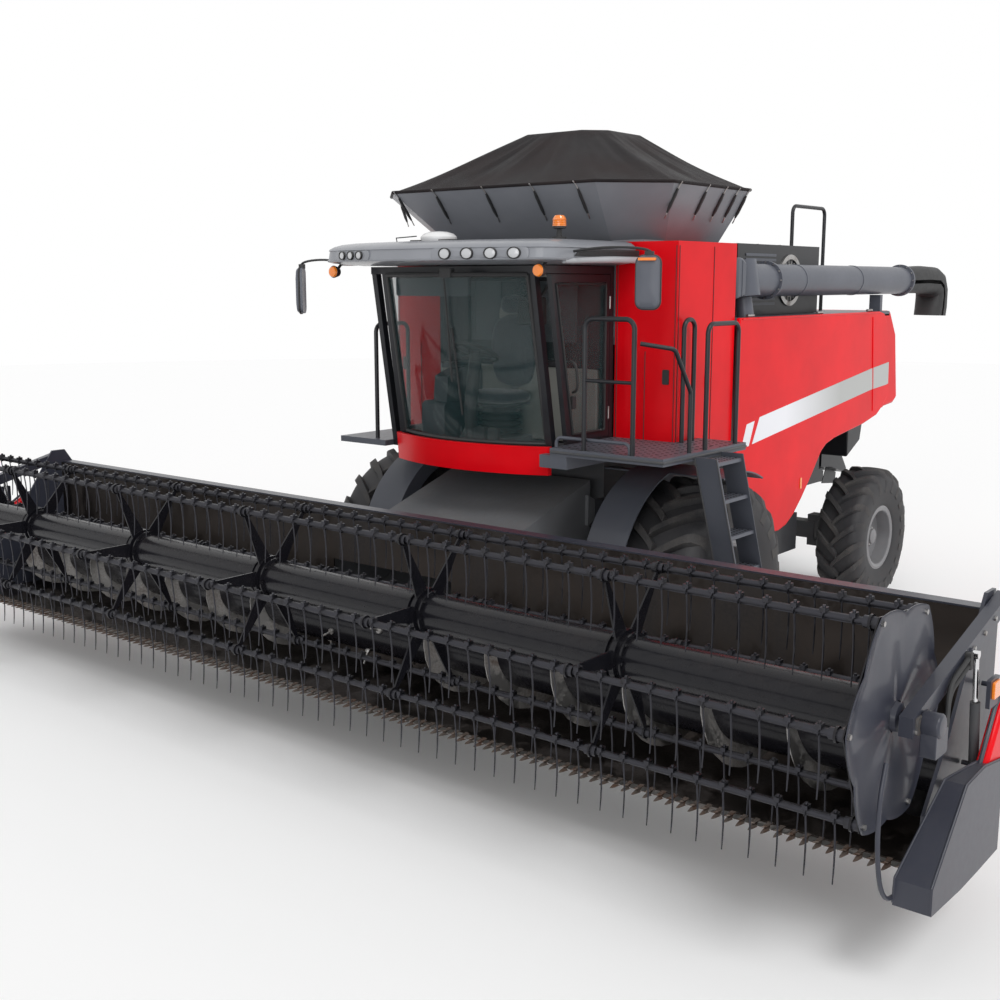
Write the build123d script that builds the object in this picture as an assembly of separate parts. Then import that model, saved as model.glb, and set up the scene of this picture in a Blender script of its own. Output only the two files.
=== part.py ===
from build123d import *
import math
import os

# Combine harvester with a wide grain header, as an assembly of separate pieces.
# Millimetres. +X is the machine's left, +Y its rear, +Z up. Every Y below is measured from the
# front axle; AXLE_Y then moves the whole machine so that the origin is the middle of its length
# and width, on the ground.

# ---------------------------------------------------------------- driving dimensions
AXLE_Y = -966.5

WHEELBASE = 3640.0
FRONT_TYRE_R, FRONT_TYRE_W, FRONT_RIM_R = 900.0, 780.0, 410.0
REAR_TYRE_R, REAR_TYRE_W, REAR_RIM_R = 735.0, 480.0, 330.0
FRONT_BARS, REAR_BARS = 20, 18
FRONT_TYRE_X = 1560.0
REAR_TYRE_X = 1490.0
KINGPIN_X, STEER_ARM = 1130.0, 260.0

HITCH_Y, HITCH_R = 4060.0, 16.0

BODY_HALF_W = 1520.0
PANEL_T = 45.0
CORE_HALF_W = 780.0

CAB_HALF_W = 930.0
CAB_REAR_Y = -420.0
CAB_FLOOR_Z, CAB_ROOF_Z, CAB_TOP_Z = 2060.0, 3540.0, 3740.0

TANK_HALF_W, TANK_FRONT_Y, TANK_REAR_Y = 1185.0, -330.0, 1180.0
TANK_BASE_Z, TANK_TOP_Z, FLARE_TOP_Z = 2904.0, 3740.0, 4180.0
FLARE_OUT, FLARE_FRONT, FLARE_REAR, FLARE_T = 325.0, 540.0, 80.0, 30.0
FLARE_CUT, FLARE_FOOT_CUT = 440.0, 320.0
COVER_PEAK_Z = 4740.0

DECK_HALF_W = 1500.0
HOOD_FRONT_Y, HOOD_REAR_Y = 1250.0, 2950.0

PLATFORM_Z, PLATFORM_FRONT_Y, PLATFORM_X = 2140.0, -1250.0, 1970.0

AUGER_X, AUGER_Z, AUGER_R = 1380.0, 3430.0, 145.0
AUGER_PIVOT_Y, AUGER_END_Y = 950.0, 4620.0
SWING_TILT = 10.0

FEEDER_PIVOT_Y, FEEDER_PIVOT_Z = -330.0, 1500.0
FEEDER_HALF_W = 740.0
LIFT_X = 620.0
LIFT_BASE, LIFT_EYE = (-290.0, 800.0), (-1500.0, 700.0)

HEADER_HALF_W = 4850.0
TABLE_HALF_W = 4590.0
THROAT_HALF_W = 640.0
BACK_TOP_Z = 1620.0
KNIFE_Y, KNIFE_Z = -2990.0, 455.0
CROSS_AUGER_Y, CROSS_AUGER_Z, CROSS_AUGER_R = -2420.0, 790.0, 300.0
AUGER_TUBE_R, FLIGHT_PITCH = 150.0, 610.0

REEL_Y, REEL_Z, REEL_R = -3300.0, 1343.0, 560.0
REEL_SECTIONS, REEL_SECTION = 6, 1500.0
REEL_BATS = 6
REEL_PHASE = 54.0
REEL_TUBE_R, BAT_R, SLEEVE_R = 125.0, 17.0, 25.0
TINE_PITCH, TINE_LENGTH = 150.0, 330.0
REEL_PIVOT_Y, REEL_PIVOT_Z = -2100.0, 1690.0
ARM_X = 4620.0
REEL_LIFT_BASE, REEL_LIFT_EYE = (-2560.0, 750.0), (-2650.0, 1530.0)

os.makedirs("parts", exist_ok=True)
NODES = {}


def keep(name, *pieces):
    """Adds solids to the node of that name."""
    NODES.setdefault(name, []).extend(pieces)


# ---------------------------------------------------------------- shape helpers
def box(x, y, z):
    """A block between two limits on each axis."""
    size = [b - a for a, b in (x, y, z)]
    mid = [(a + b) / 2 for a, b in (x, y, z)]
    return Pos(*mid) * Box(*size)


def prism_x(outline, x0, x1):
    """A (y, z) outline carried from x0 to x1."""
    wire = Wire.make_polygon([Vector(x0, y, z) for y, z in outline], close=True)
    return Solid.extrude(Face(wire), Vector(x1 - x0, 0, 0))


def prism_y(outline, y0, y1):
    """An (x, z) outline carried from y0 to y1."""
    wire = Wire.make_polygon([Vector(x, y0, z) for x, z in outline], close=True)
    return Solid.extrude(Face(wire), Vector(0, y1 - y0, 0))


def prism_z(outline, z0, z1):
    """An (x, y) outline carried from z0 to z1."""
    wire = Wire.make_polygon([Vector(x, y, z0) for x, y in outline], close=True)
    return Solid.extrude(Face(wire), Vector(0, 0, z1 - z0))


def bar(a, b, r):
    """A round bar of radius r from point a to point b."""
    a, b = Vector(*a), Vector(*b)
    return Solid.make_cylinder(r, (b - a).length, Plane(origin=a, z_dir=b - a))


def disc_x(x0, x1, y, z, r):
    """A cylinder about X from x0 to x1."""
    return bar((x0, y, z), (x1, y, z), r)


def pipe(points, r, bend):
    """A round tube along straight runs joined by arcs of radius bend."""
    path = FilletPolyline(*points, radius=bend)
    start = Plane(origin=path @ 0, z_dir=path % 0)
    return sweep(start * Circle(r), path=path)


def fuse(shapes):
    """All shapes as one."""
    shapes = list(shapes)
    return shapes[0].fuse(*shapes[1:]) if len(shapes) > 1 else shapes[0]


def ring_x(profile, y, z):
    """An (x, radius) outline turned about the line along X through (y, z)."""
    wire = Wire.make_polygon([Vector(x, y, z + r) for x, r in profile], close=True)
    return Solid.revolve(Face(wire), 360, Axis((0, y, z), (1, 0, 0)))


# ---------------------------------------------------------------- wheels
def tyre(radius, width, rim_r, x, y, bars):
    """Casing with two rows of slanted bars that meet in a V, centred at x."""
    half = width / 2
    depth = radius * 0.058
    profile = [
        (-half * 0.80, rim_r),
        (-half, rim_r + (radius - rim_r) * 0.45),
        (-half * 0.90, radius - 2.3 * depth),
        (-half * 0.60, radius - depth),
        (half * 0.60, radius - depth),
        (half * 0.90, radius - 2.3 * depth),
        (half, rim_r + (radius - rim_r) * 0.45),
        (half * 0.80, rim_r),
    ]
    casing = ring_x([(x + px, r) for px, r in profile], y, radius)
    # A bar's side: distance from the middle of the tread, radius
    reach, thick = radius * 0.165, radius * 0.072
    crest = math.sqrt(radius ** 2 - reach ** 2)
    side = [(-15, radius - 1.7 * depth), (-15, crest), (half * 0.60, crest + 5),
            (half * 0.95, radius - 1.7 * depth), (half * 0.95, radius - 4.2 * depth)]
    lugs = []
    for hand, shift in ((1, 0), (-1, 0.5)):
        corners = []
        for px, pz in side:
            fall = -reach + (2 * reach - thick) * (px + 15) / (half * 0.95 + 15)
            corners.append(Vector(x + hand * px, y + fall, radius + pz))
        lug = Solid.extrude(Face(Wire.make_polygon(corners, close=True)), Vector(0, thick, 0))
        phase = math.degrees(math.asin(reach / radius))
        for i in range(bars):
            turn = 180 - phase + 360 * (i + shift) / bars
            lugs.append(lug.rotate(Axis((0, y, radius), (1, 0, 0)), turn))
    return fuse([casing] + lugs)


def rim(rim_r, width, x, y, z, outer, hub_r):
    """Rim ring with a dished disc and a hub; outer is the X side that faces out, +1 or -1."""
    half = width / 2 * 0.80
    bore = rim_r - 45
    profile = [
        (x - outer * half, bore),
        (x - outer * half, rim_r),
        (x + outer * half, rim_r),
        (x + outer * half, bore),
        (x + outer * half * 0.30, bore),
        (x + outer * half * 0.10, hub_r + 40),
        (x + outer * half * 0.42, hub_r),
        (x + outer * half * 0.42, 0),
        (x - outer * half * 0.10, 0),
        (x - outer * half * 0.10, hub_r + 40),
        (x + outer * half * 0.10, bore),
    ]
    return ring_x(profile, y, z)


for side, sign in (("left", 1), ("right", -1)):
    fx, rx = sign * FRONT_TYRE_X, sign * REAR_TYRE_X
    front_tyre = tyre(FRONT_TYRE_R, FRONT_TYRE_W, FRONT_RIM_R, fx, 0, FRONT_BARS)
    keep("front_tyre_" + side, front_tyre)
    keep("front_rim_" + side, rim(FRONT_RIM_R, FRONT_TYRE_W, fx, 0, FRONT_TYRE_R, sign, 150))
    rear_tyre = tyre(REAR_TYRE_R, REAR_TYRE_W, REAR_RIM_R, rx, WHEELBASE, REAR_BARS)
    keep("rear_tyre_" + side, rear_tyre)
    keep("rear_rim_" + side, rim(REAR_RIM_R, REAR_TYRE_W, rx, WHEELBASE, REAR_TYRE_R, sign, 110))

# ---------------------------------------------------------------- axles
front_hub_x = FRONT_TYRE_X - FRONT_TYRE_W / 2 * 0.08 - 0.5
front_axle = [
    box((-1000, 1000), (-150, 150), (FRONT_TYRE_R - 140, FRONT_TYRE_R + 160)),
    box((560, 760), (-210, 210), (FRONT_TYRE_R + 160, 1180)),
    box((-760, -560), (-210, 210), (FRONT_TYRE_R + 160, 1180)),
]
for sign in (1, -1):
    front_axle.append(disc_x(sign * 990, sign * 1170, 0, FRONT_TYRE_R, 240))
    for dx in (-50, 34):
        x = sign * LIFT_X + dx
        lug = [(-140, 740), (-340, 745), (-350, 850), (-140, 960)]
        front_axle.append(prism_x(lug, x, x + 16))
    front_axle.append(disc_x(sign * 1160, sign * front_hub_x, 0, FRONT_TYRE_R, 140))
keep("front_axle", fuse(front_axle))

rear_axle = [
    box((-980, 980), (WHEELBASE - 90, WHEELBASE + 90), (REAR_TYRE_R - 90, REAR_TYRE_R + 90)),
    box((-120, 120), (WHEELBASE - 220, WHEELBASE + 220), (REAR_TYRE_R + 90, 990)),
]
fork_y = (WHEELBASE - 80, WHEELBASE + 80)
for sign in (1, -1):
    fork_x = sorted((sign * 960, sign * (KINGPIN_X + 80)))
    for z0, z1 in ((-170, -115), (115, 170)):
        rear_axle.append(box(fork_x, fork_y, (REAR_TYRE_R + z0, REAR_TYRE_R + z1)))
    web_x = sorted((sign * 900, sign * 985))
    rear_axle.append(box(web_x, fork_y, (REAR_TYRE_R - 170, REAR_TYRE_R + 170)))
# Towing clevis behind the axle, below the tie rod
rear_axle.append(box((-80, 80), (WHEELBASE - 90, WHEELBASE + 92), (560, REAR_TYRE_R - 88)))
hitch = [box((-80, 80), (WHEELBASE + 80, HITCH_Y + 70), (z, z + 22)) for z in (560, 640)]
hitch_bore = bar((0, HITCH_Y, 500), (0, HITCH_Y, 700), HITCH_R)
keep("rear_axle", fuse(rear_axle + hitch) - hitch_bore)

rear_hub_x = REAR_TYRE_X - REAR_TYRE_W / 2 * 0.08 - 0.5
for side, sign in (("left", 1), ("right", -1)):
    king_x = sign * KINGPIN_X
    arm_x = sorted((king_x - 35, king_x + 35))
    arm_y = (WHEELBASE + 40, WHEELBASE + STEER_ARM + 35)
    pin_y = WHEELBASE + STEER_ARM
    block = fuse([
        bar((king_x, WHEELBASE, REAR_TYRE_R - 110), (king_x, WHEELBASE, REAR_TYRE_R + 110), 75),
        disc_x(king_x, sign * rear_hub_x, WHEELBASE, REAR_TYRE_R, 70),
        box(arm_x, arm_y, (REAR_TYRE_R - 60, REAR_TYRE_R - 20)),
        bar((king_x, pin_y, REAR_TYRE_R - 22), (king_x, pin_y, REAR_TYRE_R + 40), 14),
    ])
    keep("steering_knuckle_" + side, block)

tie_z = REAR_TYRE_R + 8
tie_y = WHEELBASE + STEER_ARM
tie_rod = disc_x(-KINGPIN_X + 25, KINGPIN_X - 25, tie_y, tie_z, 15)
for sign in (1, -1):
    tie_rod += bar((sign * KINGPIN_X, tie_y, tie_z - 20), (sign * KINGPIN_X, tie_y, tie_z + 20), 34)
    tie_rod -= bar((sign * KINGPIN_X, tie_y, tie_z - 21), (sign * KINGPIN_X, tie_y, tie_z + 21), 14.5)
keep("tie_rod", tie_rod)

# ---------------------------------------------------------------- frame, body and engine
frame_parts = [
    box((-560, 560), (WHEELBASE - 260, WHEELBASE + 260), (1180, 1330)),
    box((-240, 240), (WHEELBASE - 230, WHEELBASE + 230), (REAR_TYRE_R + 255, 1180)),
]
for sign in (1, -1):
    frame_parts.append(box(sorted((sign * 560, sign * 760)), (-260, 4200), (1180, 1330)))
for y in (-260, 700, 1500, 2200, 2850):
    frame_parts.append(box((-560, 560), (y, y + 120), (1180, 1330)))
for sign in (1, -1):
    frame_parts.append(box(sorted((sign * 780, sign * 1290)), (1740, 2460), (760, 1130)))
    frame_parts.append(box(sorted((sign * 700, sign * 860)), (1800, 2400), (1120, 1182)))
    frame_parts.append(box(sorted((sign * 755, sign * 860)), (-250, 150), (1180, 1330)))
    cheek = box(sorted((sign * 790, sign * 860)), (-400, 150), (1325, 1600))
    frame_parts.append(cheek - disc_x(sign * 780, sign * 870, FEEDER_PIVOT_Y, FEEDER_PIVOT_Z, 45.5))
keep("main_frame", fuse(frame_parts))

core_outline = [
    (-255, 1332), (4055, 1332), (4055, 3060), (1260, 3060), (1260, 2900), (-255, 2900),
]
keep("threshing_body", prism_x(core_outline, -CORE_HALF_W, CORE_HALF_W))

sieve_outline = [(350, 1175), (350, 860), (620, 700), (900, 860), (3000, 1000), (3000, 1175)]
keep("threshing_body", prism_x(sieve_outline, -540, 540))

keep("engine", box((-520, 520), (1900, 2900), (3112, 3600)))

deck = box((-DECK_HALF_W, DECK_HALF_W), (TANK_REAR_Y + 10, 4060), (3062, 3110))
for sign in (1, -1):
    wing_x = sorted((sign * (TANK_HALF_W + 5), sign * DECK_HALF_W))
    deck += box(wing_x, (620, TANK_REAR_Y + 10), (3062, 3110))

hood = box((-1180, 1180), (HOOD_FRONT_Y, HOOD_REAR_Y), (3112, 3760))
hood -= box((-1150, 1150), (HOOD_FRONT_Y + 30, HOOD_REAR_Y - 30), (3100, 3730))
hood -= disc_x(-1300, -1100, 2300, 3430, 240)
# Exhaust: a stub through the hood's top with a bent pipe above it
exhaust = bar((-700, 2500, 3725), (-700, 2500, 3900), 75)
exhaust += pipe([(-700, 2500, 3890), (-700, 2500, 4080), (-700, 2720, 4080)], 60, 90)
keep("engine_hood", hood + exhaust)
keep("engine_hood", disc_x(-1178, -1152, 2300, 3430, 235))

# Side panel's outline in y and z, clear of both wheels
panel_outline = [
    (620, 3118), (3935, 3118), (4130, 2340), (3870, 2020),
    (3030, 1870), (2340, 1500), (1380, 1120), (620, 1930),
]
for side, sign in (("left", 1), ("right", -1)):
    x0, x1 = sorted((sign * BODY_HALF_W, sign * (BODY_HALF_W + PANEL_T)))
    keep("side_panel_" + side, prism_x(panel_outline, x0, x1))

# Mudguards: a full-width top and a narrower front over each front tyre, held off the body
fender_r = FRONT_TYRE_R + 85
# Inner x, outer x, first and last angle forward of the wheel's top
fender_arcs = [(1050, 1420, 0, 72), (1050, 1925, -26, 14)]
for sign in (1, -1):
    shells = []
    for x0, x1, first, last in fender_arcs:
        strip = [(sign * x0, 0), (sign * x1, 0), (sign * x1, 12), (sign * x0, 12)]
        corners = [Vector(x, 0, FRONT_TYRE_R + fender_r + q) for x, q in strip]
        hub_line = Axis((0, 0, FRONT_TYRE_R), (1, 0, 0))
        arc = Solid.revolve(Face(Wire.make_polygon(corners, close=True)), last - first, hub_line)
        shells.append(arc.rotate(hub_line, first))
    inner_wall_x = sorted((sign * 1050, sign * 1062))
    wall_arc = disc_x(*inner_wall_x, 0, FRONT_TYRE_R, fender_r + 6)
    wall_arc -= disc_x(*inner_wall_x, 0, FRONT_TYRE_R, fender_r - 130)
    wall_arc &= box((-2000, 2000), (-960, 430), (FRONT_TYRE_R + 300, 2000))
    top = FRONT_TYRE_R + fender_r
    bracket = box(sorted((sign * 782, sign * 1052)), (-250, -150), (top - 40, top - 28))
    keep("front_fenders", fuse(shells + [wall_arc, bracket]))

rear_outline = [
    (4062, 1500), (4450, 1700), (4560, 2150), (4440, 2850), (4250, 3110), (4062, 3110),
]
keep("rear_hood", prism_x(rear_outline, -1440, 1440))
chopper_outline = [(4205, 1340), (4205, 1490), (4560, 1640), (4900, 1250), (4860, 1200), (4480, 1310)]
keep("straw_chopper", prism_x(chopper_outline, -740, 740))

# ---------------------------------------------------------------- grain tank
wall = 40
tank = box((-TANK_HALF_W, TANK_HALF_W), (TANK_FRONT_Y, TANK_REAR_Y), (TANK_BASE_Z, TANK_TOP_Z))
tank -= box(
    (-TANK_HALF_W + wall, TANK_HALF_W - wall),
    (TANK_FRONT_Y + wall, TANK_REAR_Y - wall),
    (TANK_BASE_Z + wall, TANK_TOP_Z + 1),
)
keep("grain_tank", tank)


def octagon(hx, y0, y1, cut, z, x_mid=0):
    """A rectangle with its corners cut off, at one height."""
    corners = [
        (-hx + cut, y0), (hx - cut, y0), (hx, y0 + cut), (hx, y1 - cut),
        (hx - cut, y1), (-hx + cut, y1), (-hx, y1 - cut), (-hx, y0 + cut),
    ]
    return Wire.make_polygon([Vector(x_mid + x, y, z) for x, y in corners], close=True)


def flare_ring(grow, shrink, z):
    """Section of the tank extension: grow is 0 at its foot and 1 at its rim."""
    hx = TANK_HALF_W + FLARE_OUT * grow - shrink
    y0 = TANK_FRONT_Y - FLARE_FRONT * grow + shrink
    y1 = TANK_REAR_Y + FLARE_REAR * grow - shrink
    cut = FLARE_FOOT_CUT + (FLARE_CUT - FLARE_FOOT_CUT) * grow - shrink * (2 - math.sqrt(2))
    return octagon(hx, y0, y1, cut, z)


outer = Solid.make_loft([flare_ring(0, 0, TANK_TOP_Z), flare_ring(1, 0, FLARE_TOP_Z)], ruled=True)
inner_rings = [flare_ring(0, FLARE_T, TANK_TOP_Z), flare_ring(1, FLARE_T, FLARE_TOP_Z)]
inner = Solid.make_loft(inner_rings, ruled=True)
extension = [outer - inner]
# Plates that close the tank's four corners below the flare
for sign in (1, -1):
    for edge_y, inward in ((TANK_FRONT_Y, 1), (TANK_REAR_Y, -1)):
        corner_x = sign * TANK_HALF_W
        triangle = [
            (corner_x, edge_y),
            (corner_x - sign * (FLARE_FOOT_CUT + 20), edge_y),
            (corner_x, edge_y + inward * (FLARE_FOOT_CUT + 20)),
        ]
        extension.append(prism_z(triangle, TANK_TOP_Z, TANK_TOP_Z + 12))
keep("tank_extension", fuse(extension))

# The cover: height above the rim, middle of x, half width, first and last y, corner cut
cover_levels = [
    (0, 0, TANK_HALF_W + FLARE_OUT, TANK_FRONT_Y - FLARE_FRONT, TANK_REAR_Y + FLARE_REAR, FLARE_CUT),
    (505, 85, 455, -70, 760, 130),
    (COVER_PEAK_Z - FLARE_TOP_Z - 2, 130, 170, 180, 540, 60),
]
cover_sections = []
for rise, x_mid, half, y0, y1, cut in cover_levels:
    cover_sections.append(octagon(half, y0, y1, cut, FLARE_TOP_Z + 2 + rise, x_mid))
keep("tank_cover", Solid.make_loft(cover_sections, ruled=True))

# ---------------------------------------------------------------- cab
SILL_HALF, HEAD_HALF = 800.0, 780.0
SILL_Y, HEAD_Y = -1020.0, -1270.0


def stile(foot, head, wide, deep):
    """A square post from foot to head, wide in X and deep in Y."""
    rings = []
    for x, y, z in (foot, head):
        corners = [(x - wide / 2, y - deep / 2), (x + wide / 2, y - deep / 2),
                   (x + wide / 2, y + deep / 2), (x - wide / 2, y + deep / 2)]
        rings.append(Wire.make_polygon([Vector(a, b, z) for a, b in corners], close=True))
    return Solid.make_loft(rings, ruled=True)


cab = [
    box((-CAB_HALF_W, CAB_HALF_W), (SILL_Y - 30, CAB_REAR_Y), (CAB_FLOOR_Z - 70, CAB_FLOOR_Z)),
    box((-CAB_HALF_W, CAB_HALF_W), (CAB_REAR_Y, CAB_REAR_Y + 50), (CAB_FLOOR_Z - 70, CAB_ROOF_Z)),
    box((-CAB_HALF_W, CAB_HALF_W), (HEAD_Y - 30, CAB_REAR_Y), (CAB_ROOF_Z - 60, CAB_ROOF_Z)),
    box((-CAB_HALF_W, -CAB_HALF_W + 50), (SILL_Y - 30, CAB_REAR_Y), (CAB_FLOOR_Z, CAB_FLOOR_Z + 90)),
    box((CAB_HALF_W - 50, CAB_HALF_W), (SILL_Y - 30, CAB_REAR_Y), (CAB_FLOOR_Z, CAB_FLOOR_Z + 90)),
]
# Front posts: x at the foot, x at the head, width
for foot_x, head_x, wide in (
    (SILL_HALF, HEAD_HALF, 60),
    (-SILL_HALF, -HEAD_HALF, 60),
    (-CAB_HALF_W + 25, -CAB_HALF_W + 25, 50),
):
    cab.append(stile((foot_x, SILL_Y, CAB_FLOOR_Z - 70), (head_x, HEAD_Y, CAB_ROOF_Z), wide, 60))
cab_shell = fuse(cab) - box((-600, 600), (CAB_REAR_Y - 10, CAB_REAR_Y + 60), (2750, 3420))
keep("cab_frame", cab_shell)


def bow(half, y, z, bulge, t):
    """A curved strip in plan: an outer and an inner arc between x = -half and half."""
    outer_arc = Edge.make_three_point_arc((-half, y, z), (0, y - bulge, z), (half, y, z))
    inner_arc = Edge.make_three_point_arc((half, y + t, z), (0, y - bulge + t, z), (-half, y + t, z))
    left_end = Edge.make_line((half, y, z), (half, y + t, z))
    right_end = Edge.make_line((-half, y + t, z), (-half, y, z))
    return Wire([outer_arc, left_end, inner_arc, right_end])


screen = Solid.make_loft([
    bow(SILL_HALF - 35, SILL_Y - 34, CAB_FLOOR_Z + 70, 210, 8),
    bow(HEAD_HALF - 35, HEAD_Y - 24, CAB_ROOF_Z - 62, 210, 8),
], ruled=True)
keep("cab_glass", screen)
right_pane = [(SILL_Y + 32, CAB_FLOOR_Z + 92), (CAB_REAR_Y - 2, CAB_FLOOR_Z + 92),
              (CAB_REAR_Y - 2, CAB_ROOF_Z - 62), (HEAD_Y + 45, CAB_ROOF_Z - 62)]
keep("cab_glass", prism_x(right_pane, -CAB_HALF_W + 12, -CAB_HALF_W + 20))
keep("cab_glass", box((-598, 598), (CAB_REAR_Y + 20, CAB_REAR_Y + 28), (2752, 3418)))

bumper = Solid.make_loft([
    bow(SILL_HALF + 20, SILL_Y - 84, CAB_FLOOR_Z - 170, 190, 40),
    bow(SILL_HALF + 30, SILL_Y - 96, CAB_FLOOR_Z + 62, 215, 40),
], ruled=True)
keep("bumper_panel", bumper)

ROOF_REAR_Y = CAB_REAR_Y + 50


def roof_ring(half, y, z, bulge):
    """Outline of the roof at one height: a bowed front, straight sides and a straight rear."""
    front = Edge.make_three_point_arc((-half, y, z), (0, y - bulge, z), (half, y, z))
    corners = [(half, y, z), (half, ROOF_REAR_Y, z), (-half, ROOF_REAR_Y, z), (-half, y, z)]
    sides = [Edge.make_line(a, b) for a, b in zip(corners, corners[1:])]
    return Wire([front] + sides)


# Half width, front corner's y, height and bow of the roof's sections
roof_sections = [
    (1040, -1420, CAB_ROOF_Z + 2, 200),
    (1200, -1600, CAB_ROOF_Z + 40, 190),
    (1190, -1585, CAB_ROOF_Z + 130, 190),
    (1120, -1420, CAB_TOP_Z, 200),
]
roof = [Solid.make_loft([roof_ring(*row) for row in roof_sections], ruled=True)]
# Work lamps in the visor: x, front y of the lens, radius
visor_lamps = [
    (330, -1788, 43), (530, -1768, 43), (730, -1736, 43), (920, -1694, 43),
    (-700, -1740, 34), (-560, -1762, 34),
]
for x, y, r in visor_lamps:
    roof.append(bar((x, y, 3626), (x, y + 90, 3626), r))
# Receiver dome, flashing beacon and its foot on top of the roof
roof.append(bar((-150, -1250, 3730), (-150, -1250, 3775), 135))
roof.append(Pos(-150, -1250, 3775) * Solid.make_cone(135, 60, 45))
roof.append(bar((900, -1130, 3700), (900, -1130, 3790), 28))
roof.append(bar((900, -1130, 3790), (900, -1130, 3905), 55))
keep("cab_roof", fuse(roof))

# Door on the left: a frame with its pane, hinged on its rear edge
door_foot = PLATFORM_Z + 15
door_outline = [(SILL_Y + 20, door_foot), (CAB_REAR_Y - 6, door_foot),
                (CAB_REAR_Y - 6, CAB_ROOF_Z - 66), (HEAD_Y + 36, CAB_ROOF_Z - 66)]
door_window = [(SILL_Y + 80, door_foot + 60), (CAB_REAR_Y - 66, door_foot + 60),
               (CAB_REAR_Y - 66, CAB_ROOF_Z - 126), (HEAD_Y + 92, CAB_ROOF_Z - 126)]
DOOR_X = CAB_HALF_W - 45
door = prism_x(door_outline, DOOR_X, DOOR_X + 45) - prism_x(door_window, DOOR_X - 1, DOOR_X + 46)
keep("cab_door", door)
keep("door_glass", prism_x(door_window, DOOR_X + 20, DOOR_X + 26))

# ---------------------------------------------------------------- cab fittings
keep("cab_controls", box((-210, 210), (-900, -480), (CAB_FLOOR_Z, CAB_FLOOR_Z + 330)))
keep("cab_controls", stile((0, -1130, CAB_FLOOR_Z), (0, -1060, CAB_FLOOR_Z + 720), 140, 140))
keep("cab_controls", box((-560, -330), (-1000, -520), (CAB_FLOOR_Z, CAB_FLOOR_Z + 620)))
keep("seat_cushions", box((-250, 250), (-930, -520), (CAB_FLOOR_Z + 335, CAB_FLOOR_Z + 455)))
keep("seat_cushions", box((-240, 240), (-560, -450), (CAB_FLOOR_Z + 470, CAB_FLOOR_Z + 1080)))
wheel_centre = Vector(0, -1030, CAB_FLOOR_Z + 780)
wheel_plane = Plane(origin=wheel_centre, z_dir=(0, 0.42, 0.9))
keep("cab_controls", Solid.make_torus(190, 16, wheel_plane))

# ---------------------------------------------------------------- cabinets, platform, rails and ladder
for sign in (1, -1):
    cabinet = box(sorted((sign * (CAB_HALF_W + 5), sign * BODY_HALF_W)), (-350, 600), (1960, 3736))
    cabinet -= box((-TANK_HALF_W - 5, TANK_HALF_W + 5), (TANK_FRONT_Y - 5, 700), (TANK_BASE_Z - 6, 3800))
    keep("side_cabinets", cabinet)

platform_zs = (PLATFORM_Z - 60, PLATFORM_Z)
beam_zs = (PLATFORM_Z - 160, PLATFORM_Z - 60)
toe_y, toe_z = PLATFORM_FRONT_Y + 60, (PLATFORM_Z - 20, PLATFORM_Z + 80)
toe_rail = [
    (960, toe_y, toe_z[0]), (960, toe_y, toe_z[1]),
    (1640, toe_y, toe_z[1]), (1640, toe_y, toe_z[0]),
]
platform = [
    box((CAB_HALF_W + 10, PLATFORM_X), (PLATFORM_FRONT_Y, -360), platform_zs),
    box((1530, PLATFORM_X), (-362, 20), platform_zs),
    box((1000, 1100), (PLATFORM_FRONT_Y, -356), beam_zs),
    box((840, 1100), (PLATFORM_FRONT_Y, PLATFORM_FRONT_Y + 90), beam_zs),
    pipe(toe_rail, 14, 50),
]
keep("platform", fuse(platform))
keep("platform", box((-1500, -CAB_HALF_W - 10), (-1150, -360), (1990, 2040)))

# Rails: foot, bends and far foot of each hoop
foot = PLATFORM_Z
hoops = [
    [(1250, -1230, foot), (1250, -1230, 3145), (1690, -1230, 3145), (1690, -1230, foot)],
    [(1580, -335, foot), (1580, -335, 3120), (1580, -170, 3120), (1580, -170, foot)],
    [(1940, -590, foot), (1940, -590, 3100), (1940, -110, 3100), (1940, -110, foot)],
    [(-1130, -1050, 2040), (-1130, -1050, 3050), (-1130, -640, 3050), (-1130, -640, 2040)],
    [(850, 3000, 3110), (850, 3000, 4180), (850, 3760, 4180), (850, 3760, 3110)],
]
for path in hoops:
    keep("handrails", pipe(path, 19, 75))
keep("handrails", disc_x(1264, 1676, -1230, 2680, 14))
side_rail = [(1725, -1205, 2970), (1935, -1060, 2930), (1935, -820, 2600), (1935, -820, foot)]
keep("handrails", pipe(side_rail, 17, 60))

# Ladder: two broad stiles that lean back, with steps between them
LADDER_X = (1975, 2170)
LEAN = 0.40
STILE_TOP_Z, STILE_FOOT_Z, STILE_DEPTH = 2110, 480, 70


def stile_y(z):
    """Front stile's y at one height."""
    return -810 + (STILE_TOP_Z - z) * LEAN


ladder = []
for spread in (0, 400):
    outline = [
        (stile_y(STILE_TOP_Z) + spread, STILE_TOP_Z),
        (stile_y(STILE_TOP_Z) + spread + 12, STILE_TOP_Z),
        (stile_y(STILE_FOOT_Z) + spread + 12, STILE_FOOT_Z),
        (stile_y(STILE_FOOT_Z) + spread, STILE_FOOT_Z),
    ]
    ladder.append(prism_x(outline, *LADDER_X))
steps = 6
for i in range(steps):
    z = STILE_FOOT_Z + 60 + (STILE_TOP_Z - STILE_FOOT_Z - 110) * i / (steps - 1)
    tread_y = (stile_y(z) + 6, stile_y(z) + 406)
    ladder.append(box((LADDER_X[0] + 12, LADDER_X[1] - 18), tread_y, (z - 14, z + 14)))
keep("ladder", fuse(ladder))

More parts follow.
